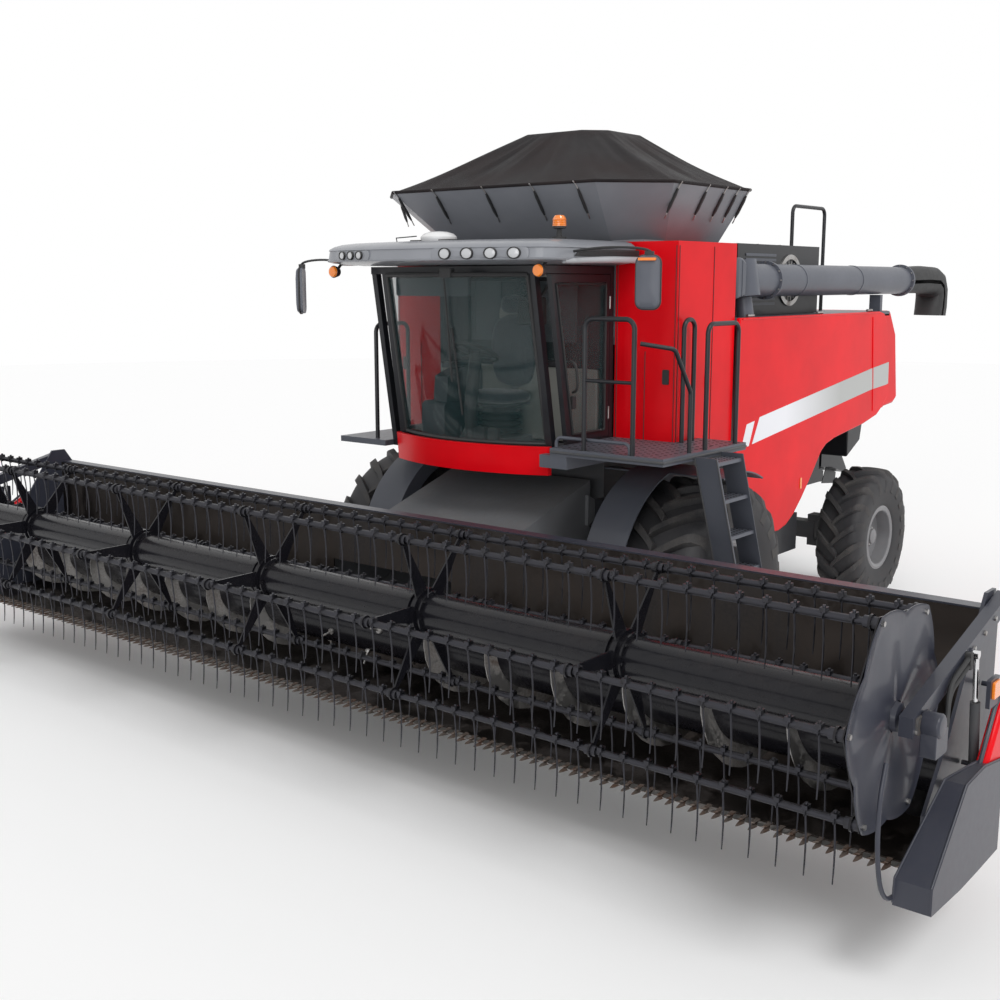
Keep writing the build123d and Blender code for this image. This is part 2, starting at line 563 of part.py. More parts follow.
mirrors = [
    # x from, x to, y from, y to, z from, z to
    (1830, 1970, -1420, -1360, 3230, 3620),
    (-1830, -1690, -1420, -1360, 3120, 3560),
]
for x0, x1, y0, y1, z0, z1 in mirrors:
    keep("mirrors", box((x0, x1), (y0, y1), (z0, z1)))
    near = 1206 if x0 > 0 else -1206
    far = (x0 + x1) / 2
    arm_z = CAB_ROOF_Z + 80
    keep("mirrors", pipe([(near, -1340, arm_z), (far, -1340, arm_z), (far, -1340, z0 + 60)], 14, 80))

# ---------------------------------------------------------------- unloading auger
swing_axis = Vector(-math.sin(math.radians(SWING_TILT)), 0, math.cos(math.radians(SWING_TILT)))
pivot = Vector(AUGER_X, AUGER_PIVOT_Y, AUGER_Z)
elbow = bar(pivot - swing_axis * 153, pivot + swing_axis * 160, 152)
tube = bar((AUGER_X, AUGER_PIVOT_Y, AUGER_Z), (AUGER_X, AUGER_END_Y, AUGER_Z), AUGER_R)
keep("auger_tube", elbow + tube)
# Spout's outline from the tube's end: y behind it and z above its axis
spout_outline = [(0, -150), (0, 150), (900, 165), (1210, -20), (1210, -420), (780, -400), (700, -150)]
spout_corners = [(AUGER_END_Y + y, AUGER_Z + z) for y, z in spout_outline]
keep("auger_spout", prism_x(spout_corners, AUGER_X - 165, AUGER_X + 165))
turret = bar(pivot - swing_axis * 345, pivot - swing_axis * 158, 75)
turret = turret & box((AUGER_X - 300, AUGER_X + 300), (0, 2000), (3105, 3500))
cradle = box((AUGER_X - 60, AUGER_X + 60), (3940, 4000), (3105, AUGER_Z - AUGER_R - 6))
keep("service_deck", deck + turret + cradle)

# ---------------------------------------------------------------- feeder house and its lift cylinders
feeder_outline = [(-400, 1760), (-2060, 1230), (-2060, 560), (-400, 1270)]
feeder_inside = [(-380, 1742), (-2090, 1196), (-2090, 600), (-380, 1310)]
feeder = prism_x(feeder_outline, -FEEDER_HALF_W, FEEDER_HALF_W)
feeder -= prism_x(feeder_inside, -FEEDER_HALF_W + 25, FEEDER_HALF_W - 25)
for sign in (1, -1):
    ear = [(-470, 1640), (-470, 1380), (-330, 1430), (-280, 1500), (-330, 1570)]
    x0, x1 = sorted((sign * (FEEDER_HALF_W - 5), sign * (FEEDER_HALF_W + 30)))
    feeder += prism_x(ear, x0, x1)
    pin_x = (sign * (FEEDER_HALF_W + 28), sign * (FEEDER_HALF_W + 115))
    feeder += disc_x(*pin_x, FEEDER_PIVOT_Y, FEEDER_PIVOT_Z, 45)
    for dx in (-50, 34):
        x = sign * LIFT_X + dx
        feeder += prism_x([(-1400, 880), (-1420, 660), (-1560, 645), (-1650, 760)], x, x + 16)
keep("feeder_house", feeder)
for sign in (1, -1):
    x = sign * LIFT_X
    base, eye = Vector(x, *LIFT_BASE), Vector(x, *LIFT_EYE)
    along = (eye - base).normalized()
    barrel = bar(base + along * 90, base + along * 850, 50)
    barrel -= bar(base + along * 200, base + along * 851, 31)
    barrel += bar(base, base + along * 92, 27)
    keep("lift_barrels", barrel + disc_x(x - 28, x + 28, *LIFT_BASE, 48))
    keep("lift_rods", bar(base + along * 330, eye - along * 30, 28) + disc_x(x - 28, x + 28, *LIFT_EYE, 40))

# ---------------------------------------------------------------- header
TROUGH_R = CROSS_AUGER_R + 35
SHEET_T = 10
back_y = CROSS_AUGER_Y + TROUGH_R
floor_z = CROSS_AUGER_Z - TROUGH_R


def trough(grow):
    """The outline of the trough sheet's inner or outer side, from the knife to the top of its back."""
    r = TROUGH_R + grow
    low = (CROSS_AUGER_Y, CROSS_AUGER_Z - r)
    slant = r * math.sqrt(0.5)
    mid = (CROSS_AUGER_Y + slant, CROSS_AUGER_Z - slant)
    high = (CROSS_AUGER_Y + r, CROSS_AUGER_Z)
    return low, mid, high


def table_sheet(x0, x1):
    """Floor, rounded trough and back of the header as one bent sheet."""
    low_in, mid_in, high_in = trough(0)
    low_out, mid_out, high_out = trough(SHEET_T)
    p = lambda yz: Vector(x0, yz[0], yz[1])
    edges = [
        Edge.make_line(p((KNIFE_Y, KNIFE_Z + 4)), p(low_in)),
        Edge.make_three_point_arc(p(low_in), p(mid_in), p(high_in)),
        Edge.make_line(p(high_in), p((high_in[0], BACK_TOP_Z))),
        Edge.make_line(p((high_in[0], BACK_TOP_Z)), p((high_out[0], BACK_TOP_Z))),
        Edge.make_line(p((high_out[0], BACK_TOP_Z)), p(high_out)),
        Edge.make_three_point_arc(p(high_out), p(mid_out), p(low_out)),
        Edge.make_line(p(low_out), p((KNIFE_Y, KNIFE_Z - 6))),
        Edge.make_line(p((KNIFE_Y, KNIFE_Z - 6)), p((KNIFE_Y, KNIFE_Z + 4))),
    ]
    return Solid.extrude(Face(Wire(edges)), Vector(x1 - x0, 0, 0))


throat = box((-THROAT_HALF_W, THROAT_HALF_W), (back_y - 130, back_y + 60), (600, 1180))
keep("header_table", table_sheet(-TABLE_HALF_W, TABLE_HALF_W) - throat)

frame_y0 = back_y + SHEET_T + 2
header_frame = [
    box((-TABLE_HALF_W, TABLE_HALF_W), (frame_y0, frame_y0 + 110), (BACK_TOP_Z - 110, BACK_TOP_Z + 10)),
    box((-TABLE_HALF_W, -THROAT_HALF_W - 190), (frame_y0, frame_y0 + 100), (540, 640)),
    box((THROAT_HALF_W + 190, TABLE_HALF_W), (frame_y0, frame_y0 + 100), (540, 640)),
]
posts = 6
for sign in (1, -1):
    for i in range(posts):
        x = sign * (THROAT_HALF_W + 230 + (TABLE_HALF_W - THROAT_HALF_W - 270) * i / (posts - 1))
        header_frame.append(box((x - 40, x + 40), (frame_y0, frame_y0 + 100), (540, BACK_TOP_Z - 100)))
keep("header_frame", fuse(header_frame))

end_outline = [
    (KNIFE_Y + 10, KNIFE_Z - 40), (KNIFE_Y + 30, 720), (-2640, 1080),
    (REEL_PIVOT_Y - 80, 1745), (REEL_PIVOT_Y + 60, 1745),
    (frame_y0 + 110, BACK_TOP_Z + 10), (frame_y0 + 110, 560), (CROSS_AUGER_Y, floor_z - 40),
]
# Crop divider, a folded sheet open below: y, inner x at the foot and at the ridge, foot z, ridge z
divider_rows = [
    (-3475, 4660, 4664, 465, 600),
    (-3060, 4690, 4735, 440, 985),
    (-2800, 4775, 4785, 440, 1000),
    (-2500, 4775, 4785, 445, 950),
]


def divider_section(row, sign, t):
    """Section across the divider, drawn in by t on its sides and top."""
    y, foot_x, ridge_x, z0, z1 = row
    corners = [
        (foot_x + t, z0 - t), (HEADER_HALF_W - t, z0 - t),
        (HEADER_HALF_W - t, z1 - t), (ridge_x + t, z1 - t),
    ]
    return Wire.make_polygon([Vector(sign * x, y, z) for x, z in corners], close=True)


for sign in (1, -1):
    x0, x1 = sorted((sign * (TABLE_HALF_W + 2), sign * (TABLE_HALF_W + 22)))
    end = prism_x(end_outline, x0, x1)
    end += disc_x(sign * (TABLE_HALF_W + 20), sign * (ARM_X + 90), REEL_PIVOT_Y, REEL_PIVOT_Z, 22)
    end += disc_x(sign * (TABLE_HALF_W + 20), sign * (ARM_X + 66), *REEL_LIFT_BASE, 24)
    keep("header_ends", end)
    fold = Solid.make_loft([divider_section(row, sign, 0) for row in divider_rows], ruled=True)
    hollow = [(y + dy, *rest) for (y, *rest), dy in zip(divider_rows, (8, 0, 0, 1))]
    fold -= Solid.make_loft([divider_section(row, sign, 8) for row in hollow], ruled=True)
    carrier_x = sorted((sign * (TABLE_HALF_W + 22), sign * (HEADER_HALF_W - 4)))
    carrier = box(carrier_x, (-2900, -2560), (450, 485))
    keep("dividers", fold + carrier)

guard_pitch = 76.2
guards = int(TABLE_HALF_W * 2 / guard_pitch)
teeth = []
for i in range(guards):
    x = (i - (guards - 1) / 2) * guard_pitch
    teeth += [(x - 18, KNIFE_Y - 2), (x, KNIFE_Y - 115), (x + 18, KNIFE_Y - 2)]
comb = [(-TABLE_HALF_W + 5, KNIFE_Y - 2)] + teeth + [(TABLE_HALF_W - 5, KNIFE_Y - 2)]
comb += [(TABLE_HALF_W - 5, KNIFE_Y + 50), (-TABLE_HALF_W + 5, KNIFE_Y + 50)]
keep("knife_guards", prism_z(comb, KNIFE_Z - 32, KNIFE_Z - 8))



def flight(x0, x1, hand):
    """A helical strip round the auger's tube, from x0 to x1."""
    middle_r = (AUGER_TUBE_R + CROSS_AUGER_R) / 2
    turn = Helix(FLIGHT_PITCH, x1 - x0, middle_r, lefthand=hand < 0)
    axis_end = Vector(x0, CROSS_AUGER_Y, CROSS_AUGER_Z)
    path = Plane(origin=axis_end, z_dir=(1, 0, 0)) * turn
    start = Plane(origin=path @ 0, x_dir=(path @ 0) - axis_end, z_dir=path % 0)
    return sweep(start * Rectangle(CROSS_AUGER_R - AUGER_TUBE_R, 10), path=path, is_frenet=True)


auger_half = TABLE_HALF_W - 25
auger_line = (CROSS_AUGER_Y, CROSS_AUGER_Z)
cross_auger = [
    disc_x(-auger_half, auger_half, *auger_line, AUGER_TUBE_R + 3),
    flight(THROAT_HALF_W, auger_half - 10, 1),
    flight(-auger_half + 10, -THROAT_HALF_W, -1),
]
# Retracting fingers in front of the feeder's mouth
fingers = 10
for i in range(fingers):
    turn = math.radians(144 * i)
    x = (i - (fingers - 1) / 2) * 120
    tip = (x, CROSS_AUGER_Y + 290 * math.cos(turn), CROSS_AUGER_Z + 290 * math.sin(turn))
    cross_auger.append(bar((x, *auger_line), tip, 9))
keep("cross_auger", fuse(cross_auger))

# ---------------------------------------------------------------- reel
reel_half = REEL_SECTIONS * REEL_SECTION / 2
core = [disc_x(-reel_half - 20, reel_half + 20, REEL_Y, REEL_Z, REEL_TUBE_R)]
core.append(disc_x(-reel_half - 130, reel_half + 130, REEL_Y, REEL_Z, 30))
bat_places = []
for k in range(REEL_BATS):
    a = math.radians(REEL_PHASE + 360 / REEL_BATS * k)
    bat_places.append((REEL_Y + REEL_R * math.cos(a), REEL_Z + REEL_R * math.sin(a)))
# Hub flange beside each spider, and a six-sided plate outside the bats' ends
for i in range(REEL_SECTIONS + 1):
    x = (i - REEL_SECTIONS / 2) * REEL_SECTION
    core.append(disc_x(x - 10, x + 22, REEL_Y, REEL_Z, REEL_TUBE_R + 35))
for x in (-reel_half - 50, reel_half + 43):
    grow = (REEL_R + 38) / REEL_R
    rim_points = [(REEL_Y + (y - REEL_Y) * grow, REEL_Z + (z - REEL_Z) * grow) for y, z in bat_places]
    core.append(prism_x(rim_points, x, x + 7))
    core.append(disc_x(x - 20, x + 27, REEL_Y, REEL_Z, 60))
for i in range(REEL_SECTIONS + 1):
    x = (i - REEL_SECTIONS / 2) * REEL_SECTION
    for y, z in bat_places:
        u = Vector(0, y - REEL_Y, z - REEL_Z).normalized()
        v = Vector(0, -u.Z, u.Y)
        c = Vector(x, REEL_Y, REEL_Z)
        foot, tip = 100, REEL_R - 32
        quad = [c + u * foot + v * 60, c + u * tip + v * 14, c + u * tip - v * 14, c + u * foot - v * 60]
        blade = Solid.extrude(Face(Wire.make_polygon(quad, close=True)), Vector(12, 0, 0))
        eye = disc_x(x, x + 12, y, z, 40)
        core.append((blade + eye) - disc_x(x - 1, x + 13, y, z, SLEEVE_R + 0.5))
keep("reel_core", fuse(core))

tines = int(2 * reel_half / TINE_PITCH)
for k, (y, z) in enumerate(bat_places):
    parts = [box((-reel_half - 20, reel_half + 32), (y - BAT_R, y + BAT_R), (z - BAT_R, z + BAT_R))]
    for i in range(REEL_SECTIONS + 1):
        x = (i - REEL_SECTIONS / 2) * REEL_SECTION
        parts.append(disc_x(x - 8, x + 20, y, z, SLEEVE_R))
    for i in range(tines):
        x = (i - (tines - 1) / 2) * TINE_PITCH
        profile = [(x - 6, y - 8), (x + 6, y - 8), (x, y + 6)]
        parts.append(prism_z(profile, z - TINE_LENGTH, z - BAT_R + 2))
    keep(f"reel_bat_{k + 1}", fuse(parts))

arm_outline = [
    (REEL_PIVOT_Y + 60, REEL_PIVOT_Z + 45), (REEL_PIVOT_Y + 60, REEL_PIVOT_Z - 45),
    (REEL_Y - 120, REEL_Z - 50), (REEL_Y - 120, REEL_Z + 50),
]
for sign in (1, -1):
    x0, x1 = sorted((sign * ARM_X, sign * (ARM_X + 70)))
    arm = prism_x(arm_outline, x0, x1) - disc_x(x0 - 1, x1 + 1, REEL_Y, REEL_Z, 30.5)
    arm -= disc_x(x0 - 1, x1 + 1, REEL_PIVOT_Y, REEL_PIVOT_Z, 22.5)
    arm += disc_x(sign * (ARM_X + 65), sign * (ARM_X + 80), *REEL_LIFT_EYE, 30)
    keep("reel_arms", arm)

# Lift cylinders of the reel: barrel on the header's end, rod on the arm
for sign in (1, -1):
    x = sign * (ARM_X + 100)
    base, eye = Vector(x, *REEL_LIFT_BASE), Vector(x, *REEL_LIFT_EYE)
    along = (eye - base).normalized()
    barrel = bar(base, base + along * 520, 26) - bar(base + along * 120, base + along * 521, 16)
    keep("reel_barrels", barrel)
    rod = bar(base + along * 130, eye - along * 20, 14)
    keep("reel_rods", rod + disc_x(x - 15, x + 15, *REEL_LIFT_EYE, 22))

# ---------------------------------------------------------------- export
for name, pieces in NODES.items():
    export_step(Pos(0, AXLE_Y, 0) * Compound(children=pieces), f"parts/{name}.step")
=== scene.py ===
# %% [markdown]
# # A combine harvester, dressed over its solids
#
# The CAD model gives every solid its place: the wheels, the cab, the grain tank, the long
# unloading auger and the nine-metre header with its reel. It is a fixed frame here, and nothing
# in it is moved. This lesson lays real surfaces over it: lugged tyres, a lashed cover, curved
# tines, auger flights, glass, lamps and paint.
#
# Three ways of working are used all through. A shape is a formula worked out on a whole grid of
# points at once with numpy. A finish is a material whose patterns come from arithmetic on
# textures. And every new piece is told which moving body it rides on.

# %% Load the frame
import math
import bmesh
import bpy
import numpy as np
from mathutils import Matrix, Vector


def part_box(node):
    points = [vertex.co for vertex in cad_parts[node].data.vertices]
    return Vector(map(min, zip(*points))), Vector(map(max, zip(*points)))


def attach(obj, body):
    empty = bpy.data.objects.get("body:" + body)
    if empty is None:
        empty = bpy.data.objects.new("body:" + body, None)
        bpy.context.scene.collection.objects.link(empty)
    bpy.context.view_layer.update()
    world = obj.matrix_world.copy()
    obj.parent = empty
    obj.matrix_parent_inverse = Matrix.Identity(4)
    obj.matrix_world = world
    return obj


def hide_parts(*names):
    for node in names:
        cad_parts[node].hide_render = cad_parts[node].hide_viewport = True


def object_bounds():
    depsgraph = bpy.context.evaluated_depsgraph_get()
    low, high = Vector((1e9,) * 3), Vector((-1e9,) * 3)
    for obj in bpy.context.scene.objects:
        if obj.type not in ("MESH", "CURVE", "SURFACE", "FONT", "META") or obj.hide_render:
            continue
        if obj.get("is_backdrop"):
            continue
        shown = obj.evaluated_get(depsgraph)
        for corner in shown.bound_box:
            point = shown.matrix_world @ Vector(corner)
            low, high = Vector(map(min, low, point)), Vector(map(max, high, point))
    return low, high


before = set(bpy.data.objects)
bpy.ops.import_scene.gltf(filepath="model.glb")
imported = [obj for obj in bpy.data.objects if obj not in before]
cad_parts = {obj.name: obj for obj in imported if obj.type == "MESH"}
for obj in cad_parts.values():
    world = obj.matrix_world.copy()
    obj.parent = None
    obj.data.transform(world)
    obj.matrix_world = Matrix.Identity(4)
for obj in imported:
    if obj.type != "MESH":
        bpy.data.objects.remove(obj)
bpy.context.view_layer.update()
print("nodes in the frame:", len(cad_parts))

# %% [markdown]
# ## One measuring point
#
# A vehicle is easiest to think of from its front axle: what is ahead of it has a negative y,
# what is behind it a positive one, and heights start on the ground. The frame's own origin is
# the middle of the whole machine instead. So the axle's place is read from the front tyre, every
# shape below is written from the axle, and the shift is added once, when a piece is made.

# %% Find the front axle
tyre_low, tyre_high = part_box("front_tyre_left")
AXLE = (tyre_low.y + tyre_high.y) / 2
SIDES = (("left", 1), ("right", -1))


def span(node):
    """A node's lowest and highest corners, measured from the front axle."""
    lowest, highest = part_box(node)
    shift = np.array([0.0, AXLE, 0.0])
    return np.array(lowest) - shift, np.array(highest) - shift


print("front axle at y =", round(AXLE, 4))

# %% [markdown]
# ## Shapes as arrays
#
# A mesh is only two lists: points, and faces that name them. Drawing it by hand with loops is
# slow and hides the formula. Here a shape holds both lists as arrays, so that a shift, a turn or
# two hundred copies are each one line of arithmetic.

# %% The shape class
class Shape:
    """Points as rows of (x, y, z), and faces as rows of point numbers."""

    def __init__(self, points, faces):
        self.points = np.asarray(points, float).reshape(-1, 3)
        self.faces = [np.asarray(f, int) for f in (faces if isinstance(faces, list) else [faces])]

    def __add__(self, other):
        """Both shapes as one: the second one's point numbers start after the first one's."""
        shifted = [f + len(self.points) for f in other.faces]
        return Shape(np.vstack([self.points, other.points]), self.faces + shifted)

    def shifted(self, by):
        """Every point plus the same vector."""
        return Shape(self.points + np.asarray(by, float), self.faces)

    def copies(self, shifts):
        """One copy for each shift: all sums of a point and a shift, in one broadcast."""
        shifts = np.asarray(shifts, float).reshape(-1, 1, 3)
        starts = np.arange(len(shifts)).reshape(-1, 1, 1) * len(self.points)
        faces = [(f[None] + starts).reshape(-1, f.shape[1]) for f in self.faces]
        return Shape(shifts + self.points[None], faces)

    def turned(self, angles, axis="x", about=(0, 0, 0)):
        """One copy for each angle, turned about an axis: c and s mix the two other coordinates."""
        angles = np.atleast_1d(angles).astype(float)
        i, j = {"x": (1, 2), "y": (2, 0), "z": (0, 1)}[axis]
        local = self.points - np.asarray(about, float)
        out = np.repeat(local[None], len(angles), axis=0)
        c, s = np.cos(angles)[:, None], np.sin(angles)[:, None]
        out[:, :, i] = c * local[None, :, i] - s * local[None, :, j]
        out[:, :, j] = s * local[None, :, i] + c * local[None, :, j]
        starts = np.arange(len(angles)).reshape(-1, 1, 1) * len(self.points)
        faces = [(f[None] + starts).reshape(-1, f.shape[1]) for f in self.faces]
        return Shape(out + np.asarray(about, float), faces)

    def mirrored(self, by=(-1, 1, 1)):
        """The other side's twin: x changes sign, and each face is walked the other way round."""
        return Shape(self.points * np.asarray(by), [f[:, ::-1] for f in self.faces])

    def on_side(self, sign):
        """The shape itself on the left, where the sign is 1, and its twin on the right."""
        return self if sign > 0 else self.mirrored()

    def both(self):
        """The shape and its twin on the other side of the machine."""
        return self + self.mirrored()


def joined(shapes):
    """Several shapes as one, in the order given."""
    whole = shapes[0]
    for shape in shapes[1:]:
        whole = whole + shape
    return whole


def circle(count):
    """Evenly spaced angles round one full turn."""
    return np.linspace(0, 2 * math.pi, count, endpoint=False)


# %% [markdown]
# ## Grids, lathes, tubes and plates
#
# Nearly every part of a harvester is made by one of four processes, and each has its formula.
# Pressed sheet is a grid of points. A wheel is turned, so a profile runs round an axis. A rail or
# hose is bent tube, so a circle runs along a path. A cut plate is an outline with a thickness.

# %% The four makers
def surface(grid, closed_rows=False, closed_cols=False):
    """A grid of points, rows by columns: each cell's four corners make one face."""
    rows, cols = grid.shape[:2]
    i = np.arange(rows if closed_rows else rows - 1)
    j = np.arange(cols if closed_cols else cols - 1)
    i, j = (a.ravel() for a in np.meshgrid(i, j, indexing="ij"))
    i2, j2 = (i + 1) % rows, (j + 1) % cols
    return Shape(grid, np.stack([i * cols + j, i2 * cols + j, i2 * cols + j2, i * cols + j2], axis=1))


def shell(grid, thickness):
    """A sheet with two sides: the grid, and the grid moved along its own normals.

    The normal is the cross product of the grid's slopes along its rows and columns."""
    normal = np.cross(np.gradient(grid, axis=0), np.gradient(grid, axis=1))
    normal /= np.maximum(np.linalg.norm(normal, axis=2, keepdims=True), 1e-9)
    inner = grid - normal * thickness
    sleeve = surface(np.concatenate([grid, inner[:, ::-1]], axis=1), closed_cols=True)
    rows, cols = grid.shape[:2]
    j = np.arange(cols - 1)
    cap = np.stack([j, j + 1, 2 * cols - 2 - j, 2 * cols - 1 - j], axis=1)
    return Shape(sleeve.points, sleeve.faces + [cap, cap[:, ::-1] + (rows - 1) * 2 * cols])


def lathe(profile, axis="x", about=(0, 0, 0), sides=48):
    """A profile of (distance along the axis, radius) pairs turned once round the axis.

    Each point is the centre, plus the distance along the axis, plus the radius times
    (cosine, sine) of the turn."""
    profile = np.asarray(profile, float)
    turn = circle(sides)
    along = np.repeat(profile[:, :1], sides, axis=1)
    across, up = profile[:, 1:] * np.cos(turn), profile[:, 1:] * np.sin(turn)
    order = {"x": (along, across, up), "y": (up, along, across), "z": (across, up, along)}[axis]
    return surface(np.stack(order, axis=2) + np.asarray(about, float), closed_cols=True)


def smooth_path(points, steps=8):
    """A rounded line through corner points: each inner corner becomes a quadratic arc.

    The arc from the middle of one run to the middle of the next is
    (1-t)^2 a + 2t(1-t) corner + t^2 b, so its ends lie along the runs."""
    p = np.asarray(points, float)
    mids = (p[:-1] + p[1:]) / 2
    t = np.linspace(0, 1, steps)[None, :, None]
    arcs = (1 - t) ** 2 * mids[:-1, None] + 2 * t * (1 - t) * p[1:-1, None] + t ** 2 * mids[1:, None]
    line = np.vstack([p[:1], arcs.reshape(-1, 3), p[-1:]])
    keep = np.r_[True, np.linalg.norm(np.diff(line, axis=0), axis=1) > 1e-5]
    return line[keep]


def tube(path, radius, sides=10):
    """A circle carried along a path, closed at both ends.

    The two directions across the path are a fixed reference with its share along the path taken
    away, and the cross product of that with the path's direction."""
    path = np.asarray(path, float)
    along = np.gradient(path, axis=0)
    along /= np.linalg.norm(along, axis=1, keepdims=True)
    spread = np.ptp(path, axis=0)
    reference = np.eye(3)[np.argmin(spread)]
    first = reference - along * (along @ reference)[:, None]
    first /= np.linalg.norm(first, axis=1, keepdims=True)
    second = np.cross(along, first)
    radius = np.broadcast_to(np.asarray(radius, float), len(path))
    turn = circle(sides)
    ring = first[:, None] * np.cos(turn)[None, :, None] + second[:, None] * np.sin(turn)[None, :, None]
    grid = path[:, None] + ring * radius[:, None, None]
    ends = [np.repeat(path[i:i + 1, None], sides, axis=1) for i in (0, len(path) - 1)]
    return surface(np.concatenate([ends[0], grid, ends[1]], axis=0), closed_cols=True)


def plate(outline, low, high, axis="x"):
    """An outline in the plane across an axis, carried from low to high along that axis."""
    outline = np.asarray(outline, float)
    n = len(outline)
    column = {"x": 0, "y": 1, "z": 2}[axis]
    ends = [np.insert(outline, column, level, axis=1) for level in (low, high)]
    i = np.arange(n)
    sides = np.stack([i, (i + 1) % n, (i + 1) % n + n, i + n], axis=1)
    return Shape(np.vstack(ends), [sides, i[None, ::-1], i[None] + n])


def rounded(x0, x1, y0, y1, r, steps=4):
    """A rectangle's outline with its corners rounded: four quarter circles of radius r."""
    turn = np.linspace(0, math.pi / 2, steps)
    centres = [(x1 - r, y1 - r, 0), (x0 + r, y1 - r, 1), (x0 + r, y0 + r, 2), (x1 - r, y0 + r, 3)]
    arcs = [
        np.stack([cx + r * np.cos(turn + q * math.pi / 2), cy + r * np.sin(turn + q * math.pi / 2)], axis=1)
        for cx, cy, q in centres
    ]
    return np.vstack(arcs)


def block(x, y, z, r=0.01):
    """A box between limits, its outline in the plane of its two longer sides rounded."""
    limits = {"x": x, "y": y, "z": z}
    thin = min(limits, key=lambda k: limits[k][1] - limits[k][0])
    a, b = (limits[k] for k in "xyz" if k != thin)
    return plate(rounded(*a, *b, min(r, (a[1] - a[0]) / 2.01, (b[1] - b[0]) / 2.01)), *limits[thin],
        axis=thin)


print("makers: surface, shell, lathe, tube, plate")

# %% [markdown]
# ## Colour as arithmetic
#
# A finish is worked out by a small net of nodes, and nets drawn by hand are hard to read. Here a
# node's output is wrapped in a class whose plus, minus and times add the node that does that sum.
# So a worn edge is written `dust * (1 - wet)`, and it reads like what it means.

# %% Wires and finishes
class Wire:
    """One output of a node. Arithmetic on it adds Math nodes."""

    def __init__(self, finish, socket):
        self.finish, self.socket = finish, socket

    def sum_with(self, operation, first, second):
        return self.finish.node("Math", {"operation": operation}, {0: first, 1: second})

    def __add__(self, other):
        return self.sum_with("ADD", self, other)

    def __radd__(self, other):
        return self.sum_with("ADD", other, self)

    def __sub__(self, other):
        return self.sum_with("SUBTRACT", self, other)

    def __rsub__(self, other):
        return self.sum_with("SUBTRACT", other, self)

    def __mul__(self, other):
        return self.sum_with("MULTIPLY", self, other)

    def __rmul__(self, other):
        return self.sum_with("MULTIPLY", other, self)

    def __pow__(self, other):
        return self.sum_with("POWER", self, other)


class Finish:
    """A material: one Principled shader, and a method that adds any other node."""

    def __init__(self, name, slot, colour, roughness, **constants):
        self.slot = slot
        self.material = bpy.data.materials.new(name)
        self.material.use_nodes = True
        self.nodes = self.material.node_tree.nodes
        self.links = self.material.node_tree.links
        self.shader = self.nodes["Principled BSDF"]
        self.material.diffuse_color = (*colour, 1)
        self.set("Base Color", (*colour, 1))
        self.set("Roughness", roughness)
        for key, value in constants.items():
            self.set(key.replace("_", " "), value)
        self.colour = colour
        self.place = self.node("TexCoord", output="Object")

    def set(self, socket, value):
        """Puts a number on one of the shader's sockets, or joins a wire to it."""
        if isinstance(value, Wire):
            self.links.new(value.socket, self.shader.inputs[socket])
        else:
            self.shader.inputs[socket].default_value = value

    def node(self, kind, settings=(), inputs=(), output=0):
        """Adds a node: its settings and ramp stops first, then its sockets' numbers and wires."""
        new = self.nodes.new("ShaderNode" + kind)
        for key, value in dict(settings).items():
            if key == "stops":
                for stop, (position, shade) in enumerate(value):
                    ramp = new.color_ramp.elements
                    entry = ramp[stop] if stop < 2 else ramp.new(position)
                    entry.position, entry.color = position, (shade, shade, shade, 1)
            else:
                setattr(new, key, value)
        for key, value in dict(inputs).items():
            if isinstance(value, Wire):
                self.links.new(value.socket, new.inputs[key])
            else:
                new.inputs[key].default_value = value
        return Wire(self, new.outputs[output])

    def noise(self, size, detail=3.0, stretch=(1, 1, 1), rough=0.55):
        """Cloudy noise whose blotches are about `size` metres across, from 0 to 1."""
        place = self.place
        if stretch != (1, 1, 1):
            place = self.node("Mapping", {}, {"Vector": place, "Scale": stretch})
        sockets = {"Vector": place, "Scale": 1 / size, "Detail": detail, "Roughness": rough}
        return self.node("TexNoise", {}, sockets)

    def between(self, value, low, high):
        """0 below low, 1 above high, and a straight climb between."""
        return self.node("MapRange", {}, {"Value": value, "From Min": low, "From Max": high})

    def blend(self, share, first, second):
        """A colour that is `first` where the share is 0 and `second` where it is 1."""
        colours = [c if isinstance(c, Wire) else (*c, 1) for c in (first, second)]
        return self.node("Mix", {"data_type": "RGBA"}, {0: share, 6: colours[0], 7: colours[1]}, output=2)

    def relief(self, height, depth, distance=0.002):
        """Leads a height through a Bump node to the shader's normal."""
        self.set("Normal", self.node("Bump", {}, {"Height": height, "Strength": depth,
            "Distance": distance}))

    def up(self):
        """How far the surface faces the sky, from 0 on a wall to 1 on a table top."""
        facing = self.node("NewGeometry", output="Normal")
        return self.between(self.node("SeparateXYZ", {}, {0: facing}, output="Z"), 0.2, 0.95)


def painted(name, slot, colour, roughness=0.34, dust=0.35, coat=0.5, dust_and_highlight_colour=(0.16, 0.13, 0.10),
    shine=0.3):
    """Sprayed paint: slightly uneven gloss, fine orange peel, and a second colour in patches on top faces:
    field dust, and on the reel's black paint partly a painted bronze highlight.
    """
    paint = Finish(name, slot, colour, roughness, Coat_Roughness=0.12, Specular_IOR_Level=shine)
    cloud, grain = paint.noise(0.7), paint.noise(0.05, detail=5)
    # Patches that lie mostly on top faces take the second colour: dust on most paints, and on the reel's
    # black paint partly a painted bronze highlight.
    dust_and_highlight = paint.between(cloud * 0.6 + grain * 0.4, 0.42, 0.75) * (0.25 + paint.up() * 0.75) * dust
    deeper = tuple(c * 0.82 for c in colour)
    shade = paint.blend(paint.between(cloud, 0.35, 0.7), deeper, colour)
    paint.set("Base Color", paint.blend(dust_and_highlight, shade, dust_and_highlight_colour))
    paint.set("Roughness", roughness + dust_and_highlight * 0.5 + (grain - 0.5) * 0.08)
    paint.set("Coat Weight", coat * (1 - dust_and_highlight))
    paint.relief(paint.noise(0.006, detail=1.0) * 0.4 + cloud, 0.04)
    return paint


print("finishes are made of", Finish.__name__, "and", Wire.__name__)

